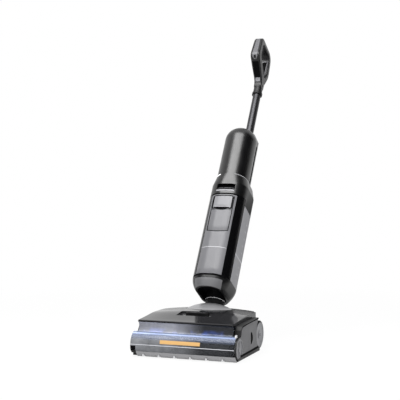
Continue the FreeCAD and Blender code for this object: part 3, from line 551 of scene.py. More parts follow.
# BAND_GREY is a light grey laid across the bottom housing's front: painted highlight.
BAND_GREY = PolishedAbs("painted_highlight_grey_band", "#5a5a5c", 0.32, specular=0.4)
LIP_GREY = PolishedAbs("pale_grey_satin_abs", "#88888a", 0.42, specular=0.3)
LATCH_RIB = PolishedAbs("satin_black_abs_rib", "#3d3d3f", 0.3, specular=0.4)
# Shrunk sleeve round the cells: smooth, with a soft highlight.
CELL_WRAP = PolishedAbs("shrink_wrap_pvc", "#4f6f9f", 0.35)
# Thin lines and ribs, too narrow for any texture to show. BRIGHT_LINE and THIN_LINE are
# painted highlights along edges of the neck ring and the shoulder.
BRIGHT_LINE = Finish("painted_highlight_white", "#fafafc", 0.35)
THIN_LINE = Finish("painted_highlight_grey_line", "#9a9a9d", 0.35)
LEVEL_LINE = Finish("moulded_level_line", "#c4c4c7", 0.35)
GUARD_RIB = Finish("polished_clear_rib", "#c5c6cc", 0.2)
# Textured mouldings and board: a highlight that the grain breaks up into a dull sheen.
HEAD_BLACK = TexturedAbs("black_textured_abs", "#131314", 0.5, specular=0.3)
HANDLE_BLACK = TexturedAbs("dark_grey_textured_abs", "#101011", 0.36, specular=0.35)
# SIDE_GREY is black on faces that turn away from the side: painted shade along the side covers'
# edges.
SIDE_GREY = EdgeShadedAbs("grey_abs_edge_painted_shade", "#5a5a5c", 0.5, specular=0.3)
DISC_GREY = TexturedAbs("light_grey_textured_abs", "#727275", 0.42, specular=0.3)
HUB_GREY = TexturedAbs("hub_grey_abs", "#77777a", 0.4, specular=0.3)
INNER_BLACK = TexturedAbs("black_polypropylene", "#0c0c0d", 0.6, specular=0.25)
PALE_PP = TexturedAbs("natural_polypropylene", "#c8c8ca", 0.5)
FLOAT_ORANGE = TexturedAbs("orange_polypropylene", "#c4622b", 0.5)
AMBER = TexturedAbs("amber_silicone", "#be965f", 0.5, specular=0.3, grain=2.4, depth=0.1)
BOARD = TexturedAbs("solder_mask_epoxy", "#1f5a34", 0.45)
# Rubber and soft-touch TPE: dark, with a faint highlight.
TYRE = Rubber("black_tyre_rubber", "#060607", 0.75, bloom="#101011", specular=0.15)
SOFT_TOUCH = Rubber("soft_touch_tpe", "#050506", 0.6, bloom="#0a0a0b", specular=0.05)
# SHADOW_TPE is black laid in gaps, seams and recesses where shade falls: painted shade.
SHADOW_TPE = Rubber("painted_shade_black", "#030304", 0.8, bloom="#08080a", specular=0.05)
BLADE = Rubber("blade_rubber", "#1d1d1e", 0.6)
# Pile and filter foam: next to no highlight, and clumps that shade each other.
PILE = Microfibre("microfibre_pile", "#4b4d52", 0.9)
FOAM_FILTER = Microfibre("filter_foam", "#1c1c1d", 0.95, tip="#3c3c3d", clump=2.5)
# Clear wet cover, light guide and lamp lens: clear or lit from inside.
# WET_COVER is drawn lighter on the left, where the light falls: painted light over its foam.
WET_COVER = WetPolycarbonate("wet_clear_polycarbonate", "#1d1f23", 0.12, alpha=0.55,
                             specular=0.28)
LIGHT_GUIDE = LightGuide("moulded_light_guide", "#8694b6", 0.25)
LENS = LitLens("frosted_led_lens", "#e8f0ff", 0.4)
# Metals: tinted mirrors, blurred by fine scratches.
STEEL = Brushed("zinc_plated_steel", "#9a9a9c", 0.35, metallic=1.0)
ALUMINIUM = Brushed("anodised_aluminium_tube", "#3b3b3d", 0.34, metallic=0.85)
CORE_METAL = Brushed("drawn_aluminium", "#a9a9ab", 0.4, metallic=1.0)
BRASS = Brushed("turned_brass", "#b08d57", 0.35, metallic=1.0)

CAD_FINISHES: dict[str, Finish] = {name: finish for finish, names in (
    (HEAD_BLACK, "base_chassis neck_yoke tube_ring mode_button self_clean_button"),
    (STEEL, "base_plate base_screws roller_motor motor_pulley wheel_motors pivot_pins "
            "latch_spring"),
    (BLADE, "rear_squeegee drive_belt filler_plug"),
    (LIP_GREY, "front_lip"),
    (DECK_GLOSS, "rear_deck_cover"),
    (SIDE_GREY, "side_cover_right side_cover_left"),
    (DISC_GREY, "roller_end_cap"),
    (BRASS, "roller_bearings"),
    (INNER_BLACK, "roller_scraper suction_duct cover_latch swivel_sleeve swivel_ring water_pump "
                  "suction_motor power_button"),
    (PALE_PP, "spray_bar roller_pulley impeller"),
    (LENS, "led_strip"),
    (WET_COVER, "roller_cover"),
    (CORE_METAL, "roller_core"),
    (PILE, "roller_sleeve"),
    (TYRE, "wheel_tyre_right wheel_tyre_left"),
    (HUB_GREY, "wheel_hub_right wheel_hub_left"),
    (BRIGHT_TRIM, "neck_shroud"),
    (CAP_GREY, "lower_cap"),
    (FRAME_GLOSS, "body_frame"),
    (SMOKED_TANK, "dirty_tank_shell tank_lid"),
    (FLOAT_ORANGE, "tank_float"),
    (FOAM_FILTER, "tank_filter"),
    (LATCH_GREY, "tank_latch"),
    (CLEAR_TANK, "clean_tank"),
    (CELL_WRAP, "battery_cells"),
    (SHOULDER_GLOSS, "shoulder_cover"),
    (BOARD, "circuit_board"),
    (HOUSING_GLOSS, "upper_housing dome_cap"),
    (SPINE_GREY, "spine_shell"),
    (ALUMINIUM, "pole_tube"),
    (HANDLE_BLACK, "handle_right handle_left"),
    (PLATE_GREY, "front_plate"),
    (SOFT_TOUCH, "soft_grip"),
) for name in names.split()}


def dress_frame() -> None:
    """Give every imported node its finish."""
    for name, node in frame["nodes"].items():
        node.data.materials.clear()
        node.data.materials.append(CAD_FINISHES[name].material())
        LOG.info("dressed %s in %s", name, CAD_FINISHES[name].name)


# ---------------------------------------------------------------- bench tools


def stand(name: str, data: bpy.types.ID) -> bpy.types.Object:
    """Put an object made of some data into the scene.

    Args:
        name: Name of the object.
        data: Its mesh, curve, lamp or camera.

    Returns:
        The object.
    """
    made = bpy.data.objects.new(name, data)
    bpy.context.scene.collection.objects.link(made)
    return made


def skin(rows: Sequence[Sequence[Point]], around: bool = True, wrap: bool = False,
         capped: bool = False) -> Mesh:
    """Join rows of points into a surface with its faces outwards.

    Args:
        rows: Rows with the same number of points.
        around: Whether each row is a loop.
        wrap: Whether the last row joins the first.
        capped: Whether the first and last rows are closed with a face.

    Returns:
        The mesh being built.
    """
    made = bmesh.new()
    lines = [[made.verts.new(p) for p in row] for row in rows]
    count = len(rows[0])
    pairs = list(zip(lines, lines[1:])) + ([(lines[-1], lines[0])] if wrap else [])
    for low, high in pairs:
        for i in range(count if around else count - 1):
            j = (i + 1) % count
            made.faces.new((low[i], low[j], high[j], high[i]))
    if capped:
        made.faces.new(lines[0])
        made.faces.new(lines[-1])
    bmesh.ops.recalc_face_normals(made, faces=made.faces)
    return made


def together(*parts: Mesh) -> Mesh:
    """Put several meshes into one.

    Args:
        parts: Meshes to join, which are freed.

    Returns:
        The joined mesh.
    """
    whole = bmesh.new()
    for part in parts:
        mesh = bpy.data.meshes.new("part")
        part.to_mesh(mesh)
        part.free()
        whole.from_mesh(mesh)
        bpy.data.meshes.remove(mesh)
    return whole


def turned(profile: Sequence[Flat], steps: int = 72) -> Mesh:
    """Turn a closed (radius, along) profile about X.

    Args:
        profile: Corners of the profile in order.
        steps: Faces round the axis.

    Returns:
        The ring.
    """
    angles = [math.tau * i / steps for i in range(steps)]
    rows = [[(along, r * math.cos(a), r * math.sin(a)) for r, along in profile] for a in angles]
    return skin(rows, wrap=True)


def slab(low: Point, high: Point, edge: float = 0.5) -> Mesh:
    """Block between two corners with its edges rounded.

    Args:
        low: Corner with the smallest coordinates.
        high: Opposite corner.
        edge: Radius of its edges.

    Returns:
        The block.
    """
    x0, y0, z0 = low
    x1, y1, z1 = high
    made = skin([[(x0, y0, z), (x1, y0, z), (x1, y1, z), (x0, y1, z)] for z in (z0, z1)],
                capped=True)
    bmesh.ops.bevel(made, geom=made.edges[:], offset=edge, segments=2, affect="EDGES",
                    profile=0.5)
    return made


def cut_plate(outline: Sequence[Flat], depth: float, holes: Sequence[Sequence[Flat]] = (),
              edge: float = 0.3) -> Mesh:
    """Flat plate cut from an outline, in XY, its back face at z 0.

    Args:
        outline: Corners of the plate.
        depth: Thickness.
        holes: Corners of each hole.
        edge: Radius of its rounded edges.

    Returns:
        The plate.
    """
    curve = bpy.data.curves.new("cut", "CURVE")
    curve.dimensions = "2D"
    curve.fill_mode = "BOTH"
    curve.extrude = depth / 2 - edge
    curve.bevel_depth = edge
    curve.bevel_resolution = 1
    curve.offset = -edge
    for loop in (outline, *holes):
        spline = curve.splines.new("POLY")
        spline.points.add(len(loop) - 1)
        for point, (x, y) in zip(spline.points, loop):
            point.co = (x, y, 0, 1)
        spline.use_cyclic_u = True
    holder = stand("cut", curve)
    mesh = bpy.data.meshes.new_from_object(
        holder.evaluated_get(bpy.context.evaluated_depsgraph_get()))
    made = bmesh.new()
    made.from_mesh(mesh)
    bmesh.ops.remove_doubles(made, verts=made.verts[:], dist=0.001)
    bmesh.ops.translate(made, vec=(0, 0, depth / 2), verts=made.verts[:])
    bpy.data.objects.remove(holder)
    bpy.data.curves.remove(curve)
    bpy.data.meshes.remove(mesh)
    return made


def rounded(half_x: float, half_y: float, radius: float, centre: Flat = (0, 0),
            steps: int = 6) -> list[Flat]:
    """Corners of a rounded rectangle, anticlockwise.

    Args:
        half_x: Half its width.
        half_y: Half its height.
        radius: Radius of its corners.
        centre: Its middle.
        steps: Steps round each corner.

    Returns:
        The corners.
    """
    points = []
    for turn, (sx, sy) in enumerate(((1, 1), (-1, 1), (-1, -1), (1, -1))):
        for i in range(steps + 1):
            a = math.radians(90 * (turn + i / steps))
            points.append((centre[0] + sx * (half_x - radius) + radius * math.cos(a),
                           centre[1] + sy * (half_y - radius) + radius * math.sin(a)))
    return points


class Repeat:
    """Geometry Nodes tree that repeats a piece along a line or round an axis."""

    def __init__(self) -> None:
        """Build the tree with its named inputs."""
        self.tree = bpy.data.node_groups.new("repeat_piece", "GeometryNodeTree")
        face = self.tree.interface
        self.sockets: dict[str, str] = {}
        face.new_socket("Geometry", in_out="INPUT", socket_type="NodeSocketGeometry")
        for name, kind in (("Count", "Int"), ("Step", "Vector"), ("Turn", "Vector"),
                           ("Finish", "Material")):
            made = face.new_socket(name, in_out="INPUT", socket_type="NodeSocket" + kind)
            self.sockets[name] = made.identifier
        face.new_socket("Geometry", in_out="OUTPUT", socket_type="NodeSocketGeometry")
        given = add(self.tree, "NodeGroupInput").outputs
        line = add(self.tree, "GeometryNodeMeshLine",
                   links={"Count": given["Count"], "Offset": given["Step"]})
        index = add(self.tree, "GeometryNodeInputIndex")
        turn = add(self.tree, "ShaderNodeVectorMath", {"operation": "SCALE"},
                   {0: given["Turn"], "Scale": index.outputs[0]})
        placed = add(self.tree, "GeometryNodeInstanceOnPoints", links={
            "Points": line.outputs[0], "Instance": given["Geometry"],
            "Rotation": turn.outputs[0]})
        real = add(self.tree, "GeometryNodeRealizeInstances",
                   links={"Geometry": placed.outputs[0]})
        dressed = add(self.tree, "GeometryNodeSetMaterial",
                      links={"Geometry": real.outputs[0], "Material": given["Finish"]})
        add(self.tree, "NodeGroupOutput", links={"Geometry": dressed.outputs[0]})

    def run(self, seed: Mesh, count: int, finish: Finish, step: Point,
            turn: Point = (0, 0, 0)) -> Mesh:
        """Repeat a small mesh.

        Args:
            seed: Mesh to repeat, drawn where the first one goes.
            count: How many.
            finish: Finish of the repeated piece.
            step: Move from one to the next.
            turn: Turn from one to the next about the origin, in radians.

        Returns:
            All the copies as one mesh.
        """
        mesh = bpy.data.meshes.new("seed")
        seed.to_mesh(mesh)
        seed.free()
        holder = stand("seed", mesh)
        modifier = holder.modifiers.new("repeat", "NODES")
        modifier.node_group = self.tree
        for name, value in (("Count", count), ("Step", step), ("Turn", turn),
                            ("Finish", finish.material())):
            modifier[self.sockets[name]] = value
        bpy.context.view_layer.update()
        result = bpy.data.meshes.new_from_object(
            holder.evaluated_get(bpy.context.evaluated_depsgraph_get()))
        holder.modifiers.clear()
        made = bmesh.new()
        made.from_mesh(result)
        bpy.data.objects.remove(holder)
        bpy.data.meshes.remove(mesh)
        bpy.data.meshes.remove(result)
        return made


@dataclass(frozen=True)
class BodyForm:
    """A rounded rectangle round the pole, walked from the middle of its front."""

    half: float = 58.0
    front: float = -104.0
    rear: float = 40.0
    corner: float = 48.0

    def at(self, walked: float, proud: float, height: float) -> Point:
        """Return the point reached by walking round the form.

        Args:
            walked: Distance from the middle of the front, negative to the left.
            proud: How far it stands out of the surface.
            height: Distance up the pole.

        Returns:
            Point in the pole frame.
        """
        side = -1.0 if walked < 0 else 1.0
        s, r = abs(walked), self.corner
        flat, quarter = self.half - r, r * math.pi / 2
        straight = self.rear - self.front - 2 * r
        if s <= flat:
            x, v = s, self.front - proud
        elif s <= flat + quarter:
            a = (s - flat) / r
            x = flat + (r + proud) * math.sin(a)
            v = self.front + r - (r + proud) * math.cos(a)
        elif s <= flat + quarter + straight:
            x, v = self.half + proud, self.front + r + s - flat - quarter
        else:
            a = min((s - flat - quarter - straight) / r, math.pi / 2)
            x = flat + (r + proud) * math.cos(a)
            v = self.rear - r + (r + proud) * math.sin(a)
        return (side * x, v, height)

    def hoop(self, s0: float, s1: float, u0: float, u1: float, deep: float, proud: float,
             steps: int = 40) -> Mesh:
        """Band with rounded edges that follows the form between two heights.

        Args:
            s0: Where it starts, walked from the middle of the front.
            s1: Where it ends.
            u0: Its foot.
            u1: Its top.
            deep: How far its back stands out of the form.
            proud: How far its face stands out.
            steps: Steps along it.

        Returns:
            The band.
        """
        edge = min(0.3, (u1 - u0) / 4)
        rows = []
        for i in range(steps + 1):
            s = s0 + (s1 - s0) * i / steps
            shape = ((u0, deep), (u0, proud - edge), (u0 + edge, proud), (u1 - edge, proud),
                     (u1, proud - edge), (u1, deep))
            rows.append([self.at(s, d, u) for u, d in shape])
        return skin(rows, capped=True)

    def wrap(self, made: Mesh) -> Mesh:
        """Bend a flat mesh, drawn in XY with its face up Z, round the form.

        Args:
            made: The flat mesh, which is changed.

        Returns:
            The same mesh.
        """
        for vert in made.verts:
            vert.co = self.at(vert.co.x, vert.co.z, vert.co.y)
        bmesh.ops.recalc_face_normals(made, faces=made.faces)
        return made


BODY_FORM = BodyForm()
RIM_FORM = BodyForm(half=50.0, rear=38.0, corner=47.0)
DOME_FORM = BodyForm(half=44.1, front=-98.1, rear=-9.9, corner=44.1)


@dataclass
class SubAssembly:
    """Bench work that every sub-assembly shares."""

    repeat: Repeat
    place: Matrix = field(default_factory=lambda: HEAD_PLACE)
    body: Body = Body.BODY

    def piece(self, name: str, made: Mesh, finish: Finish, slot: str,
              stands_for: Sequence[str] = (), sharp: float = 40.0,
              body: Body | None = None) -> None:
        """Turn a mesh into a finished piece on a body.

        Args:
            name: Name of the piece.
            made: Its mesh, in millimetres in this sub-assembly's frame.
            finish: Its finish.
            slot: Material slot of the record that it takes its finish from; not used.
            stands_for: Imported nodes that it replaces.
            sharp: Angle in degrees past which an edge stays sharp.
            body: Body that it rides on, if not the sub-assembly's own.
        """
        bmesh.ops.transform(made, matrix=self.place, verts=made.verts[:])
        bmesh.ops.recalc_face_normals(made, faces=made.faces[:])
        mesh = bpy.data.meshes.new(name)
        made.to_mesh(mesh)
        made.free()
        mesh.polygons.foreach_set("use_smooth", [True] * len(mesh.polygons))
        mesh.set_sharp_from_angle(angle=math.radians(sharp))
        mesh.materials.clear()
        mesh.materials.append(finish.material())
        done = stand(name, mesh)
        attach(done, (body or self.body).value)
        if stands_for:
            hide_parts(*stands_for)
        LOG.info("made %s in %s", name, finish.name)


# ---------------------------------------------------------------- floor head


@dataclass
class RollerCover(SubAssembly):
    """Trim of the lift-off clear cover, round the roller's guard and in the deck."""

    body: Body = Body.COVER
    axis_y: float = 27.0
    axis_z: float = 34.0
    guard_r: float = 38.5
    left: float = -151.3
    right: float = 148.6
    pan_half: float = 49.6
    pan_front: float = 72.4
    pan_back: float = 117.6
    pan_wall: Point = (1.012, 1.02, 0.8)

    def arc_bar(self, x0: float, x1: float, z0: float, z1: float, deep: float, proud: float,
                steps: int = 10) -> Mesh:
        """Strip on the front of the guard between two heights.

        Args:
            x0: Left end.
            x1: Right end.
            z0: Foot.
            z1: Top.
            deep: How far its back stands out of the guard.
            proud: How far its face stands out.
            steps: Steps from foot to top.

        Returns:
            The strip.
        """
        low = math.asin((z0 - self.axis_z) / self.guard_r)
        high = math.asin((z1 - self.axis_z) / self.guard_r)
        edge = 0.3
        loop = []
        for i in range(steps + 1):
            a = low + (high - low) * i / steps
            r = self.guard_r + proud
            loop.append((self.axis_y - r * math.cos(a), self.axis_z + r * math.sin(a)))
        for i in range(steps, -1, -1):
            a = low + (high - low) * i / steps
            r = self.guard_r + deep
            loop.append((self.axis_y - r * math.cos(a), self.axis_z + r * math.sin(a)))
        xs = (x0, x0 + edge, x1 - edge, x1)
        return skin([[(x, y, z) for y, z in loop] for x in xs], capped=True)

    def build(self) -> None:
        """Make the strips, the light guide and the finger pan."""
        self.piece("amber_strip", self.arc_bar(-64, 52, 42.2, 51.6, 0.05, 0.7), AMBER,
                   "roller_cover")
        self.piece("guard_light_guide",
                   self.arc_bar(self.left, self.right, 49, 69.6, 0.02, 0.3, 24), LIGHT_GUIDE,
                   "led_strip")
        self.piece("guard_rib", self.arc_bar(self.left, self.right, 36.2, 37.6, 0.02, 0.6, 3),
                   GUARD_RIB, "roller_cover")
        # Painted shade: a black strip under the deck's front edge.
        self.piece("deck_edge_shade", self.deck_edge_shade(), SHADOW_TPE, "roller_cover")
        self.piece("finger_pan_liner", self.pan_liner(), LATCH_RIB, "roller_cover")
        # Painted shade: a black strip on the foot of the guard's left end.
        self.piece("guard_end_shade", self.arc_bar(self.left - 0.1, -136.6, 18.8, 33, 0.05, 0.6),
                   SHADOW_TPE, "roller_cover")
        grip = slab((-24, 105.3, 115.0), (24, 106.3, 115.6), 0.2)
        ribs = self.repeat.run(grip, 4, LATCH_RIB, (0, 2.1, 0))
        self.piece("latch_grip_ribs", ribs, LATCH_RIB, "cover_latch", body=Body.COVER_LATCH)

    def deck_edge_shade(self) -> Mesh:
        """Black strip under the deck's front edge, where shade falls: painted shade."""
        shape = ((10.3, 96.4), (9.6, 97.0), (9.6, 99.0), (10.3, 99.6), (11.8, 99.3), (11.8, 96.6))
        return skin([[(x, y, z) for y, z in shape] for x in (-137.0, 137.0)], capped=True)

    def pan_liner(self) -> Mesh:
        """Open tray that lines the finger pan, its outside spread and lowered for a wall.

        Returns:
            The tray.
        """
        y0, y1, half = self.pan_front, self.pan_back, self.pan_half
        middle, reach = (y0 + y1) / 2, (y1 - y0) / 2
        rows = []
        for inset, z in ((0.0, 110.4), (0.0, 106.0), (1.6, 104.5), (12.0, 104.3)):
            loop = rounded(half - inset, reach - inset, max(5.0 - inset, 1.0), (0, middle))
            rows.append([(x, y, z) for x, y in loop])
        wide, long, down = self.pan_wall
        outer = [[(x * wide, middle + (y - middle) * long, z - down) for x, y, z in row]
                 for row in rows]
        return skin(rows[::-1] + outer, capped=True)


@dataclass
class FloorHead(SubAssembly):
    """Roller pile and comb teeth of the head, painted shade on the side covers and round the end
    cap, and a painted highlight on the guard corner.
    """

    body: Body = Body.HEAD
    axis_y: float = 27.0
    axis_z: float = 33.0
    pile_r: float = 32.1
    bore_r: float = 20.1
    half: float = 129.8
    spiral_rise: float = 0.28
    tuft_rise: float = 0.2
    comb_foot: float = 4.2
    comb_top: float = 11.6
    recess_at: Flat = (115.0, 51.0)
    recess_r: float = 16.7
    cap_at: Flat = (19.5, 35.5)
    cap_foot: float = 13.4

    def build(self) -> None:
        """Make the head's own pieces."""
        self.piece("roller_pile", self.pile(), PILE, "roller_sleeve", ["roller_sleeve"], 80,
                   body=Body.ROLLER)
        foot, top = self.comb_foot, self.comb_top
        shape = ((-118.4, foot), (-111.6, foot), (-114.2, top), (-115.8, top))
        tooth = skin([[(x, y + (top - z) * 0.45, z) for x, z in shape] for y in (-9.6, -6.4)],
                     capped=True)
        teeth = self.repeat.run(tooth, 6, PALE_PP, (46, 0, 0))
        self.piece("lip_comb_teeth", teeth, PALE_PP, "front_lip")
        for name, side in SIDES:
            # Painted shade: black in the side covers' finger recesses and along their top and foot.
            self.piece("side_recess_shade_" + name, self.recess(side), SHADOW_TPE,
                       "side_cover_" + name)
            self.piece("side_edge_shade_" + name, self.edge_shade_strips(side), SHADOW_TPE,
                       "side_cover_" + name)
        # Painted highlight: a pale block where the guard's corner catches the light.
        corner = slab((146.6, 1.0, 66.6), (150.6, 12.5, 75.0), 1.4)
        self.piece("guard_corner_highlight", corner, PALE_PP, "roller_cover", body=Body.COVER)
        # Painted shade: black in the seam round the roller's pull cap.
        self.piece("end_cap_shade", self.cap_shade(), SHADOW_TPE, "roller_end_cap")

    def pile(self) -> Mesh:
        """Roller sleeve with its pile laid in two slow spirals.

        Returns:
            The sleeve.
        """
        along, around = 104, 96
        rows = []
        for i in range(along + 1):
            x = -self.half + 2 * self.half * i / along
            edge = min(1.0, (self.half - abs(x) + 0.6) / 5)
            row = []
            for j in range(around):
                a = math.tau * j / around
                spiral = math.sin(2 * a + x / 13)
                tuft = math.sin(31 * a + 1.7 * math.sin(x)) * math.sin(x * 1.3 + 3 * a)
                r = self.pile_r * (0.955 + 0.045 * edge)
                r += self.spiral_rise * spiral * edge + self.tuft_rise * tuft
                row.append((x, self.axis_y + r * math.cos(a), self.axis_z + r * math.sin(a)))
            rows.append(row)
        inner = [[(x, self.axis_y + self.bore_r * math.cos(math.tau * j / around),
                   self.axis_z + self.bore_r * math.sin(math.tau * j / around))
                  for j in range(around)] for x in (self.half, -self.half)]
        return skin(rows + inner, wrap=True)

    def recess(self, side: int) -> Mesh:
        """Black laid in a side cover's half-round finger recess: painted shade.

        Args:
            side: 1 for the right, -1 for the left.

        Returns:
            The liner.
        """
        (y0, z0), r = self.recess_at, self.recess_r
        turns = [math.radians(-86 + 172 * i / 20) for i in range(21)]
        arc = [(y0 + r * math.cos(a), z0 + r * math.sin(a)) for a in turns]
        loop = [(y0 - 0.8, z0 - r + 0.1), *arc, (y0 - 0.8, z0 + r - 0.1)]
        return skin([[(side * x, y, z) for y, z in loop] for x in (153.05, 153.5)], capped=True)

    def edge_shade_strips(self, side: int) -> Mesh:
        """Black along the top and the foot of a side cover, where the gap under the deck and the
        underside are in shade: painted shade.

        Args:
            side: 1 for the right, -1 for the left.

        Returns:
            The edging.
        """
        top = ((25.2, 67.5), (31.8, 83.6), (40.6, 93.0), (88.6, 96.2), (185.2, 98.4))
        low = ((27.8, 66.4), (34.2, 82.2), (41.8, 90.2), (88.8, 93.2), (183.6, 95.4))
        bands = [(top, low) if side > 0 else (((68.6, 93.4), (88.6, 96.2), (185.2, 98.4)),
                                              ((69.2, 91.0), (88.8, 93.2), (183.6, 95.4))),
                 (((24, 18.6), (178.6, 20.4)), ((24, 12.7), (179.8, 14.7)))]
        parts = []
        for upper, lower in bands:
            rows = [[(side * x, *place) for x, place in ((154.6, a), (155.3, a), (155.3, b),
                                                         (154.6, b))]
                    for a, b in zip(upper, lower)]
            parts.append(skin(rows, capped=True))
        return together(*parts)

    def cap_shade(self) -> Mesh:
        """Black in the seam round the roller's pull cap: painted shade.

        Returns:
            The seal.
        """
        made = turned([(27.65, 152.6), (28.15, 152.6), (28.15, 154.9), (27.65, 154.9)], 80)
        bmesh.ops.translate(made, vec=(0, *self.cap_at), verts=made.verts[:])
        cut = [f for f in made.faces if f.calc_center_median().z < self.cap_foot]
        bmesh.ops.delete(made, geom=cut, context="FACES")
        bmesh.ops.holes_fill(made, edges=[e for e in made.edges if e.is_boundary], sides=8)
        return made


@dataclass
class Wheel(SubAssembly):
    """One rear wheel: ribbed tyre and dished hub cap."""

    side: int = 1
    body: Body = Body.WHEEL_RIGHT
    axle_y: float = 250.0
    axle_z: float = 40.5
    radius: float = 40.5
    ribs: int = 60

    def build(self) -> None:
        """Make the tyre and the hub cap."""
        word = "right" if self.side > 0 else "left"
        tread = self.radius - 0.7
        tyre = turned([(35.1, 118.2), (38.2, 118.1), (tread, 119.6), (tread, 136.4),
                       (38.4, 137.9), (35.1, 137.9)], 96)
        rib = slab((119.6, -0.75, tread - 0.3), (136.4, 0.75, self.radius), 0.25)
        ribs = self.repeat.run(rib, self.ribs, TYRE, (0, 0, 0), (math.tau / self.ribs, 0, 0))
        self.piece("tyre_" + word, self.set_in(together(tyre, ribs)), TYRE, "wheel_tyre_" + word,
                   ["wheel_tyre_" + word])
        cap = turned([(0.01, 138.3), (7.0, 138.3), (9.0, 137.6), (24.0, 137.2), (28.0, 138.3),
                      (31.0, 138.3), (31.0, 137.2), (24.0, 136.0), (0.01, 136.0)], 72)
        self.piece("hub_cap_" + word, self.set_in(cap), HUB_GREY, "wheel_hub_" + word)

    def set_in(self, made: Mesh) -> Mesh:
        """Move a mesh drawn about the X axis to this wheel's axle.

        Args:
            made: The mesh, which is changed.

        Returns:
            The same mesh.
        """
        for vert in made.verts:
            vert.co = (self.side * vert.co.x, vert.co.y + self.axle_y, vert.co.z + self.axle_z)
        return made


# ---------------------------------------------------------------- neck and body


@dataclass
class Neck(SubAssembly):
    """Painted highlight and painted shade round the ring above the neck."""

    def build(self) -> None:
        """Make the ring's white line, a painted highlight, and the black strip above it, a painted
        shade.
        """
        for name, low, high, reach, finish in (
                ("ring_painted_highlight", 98.6, 99.8, 30.6, BRIGHT_LINE),
                ("ring_painted_shade", 99.9, 100.9, 30.4, SHADOW_TPE)):
            form = BodyForm(half=reach, front=-reach, rear=reach, corner=reach)
            half = math.pi * reach
            self.piece(name, form.hoop(-half + 0.1, half - 0.1, low, high, -0.3, 0.0, 72), finish,
                       "swivel_ring")


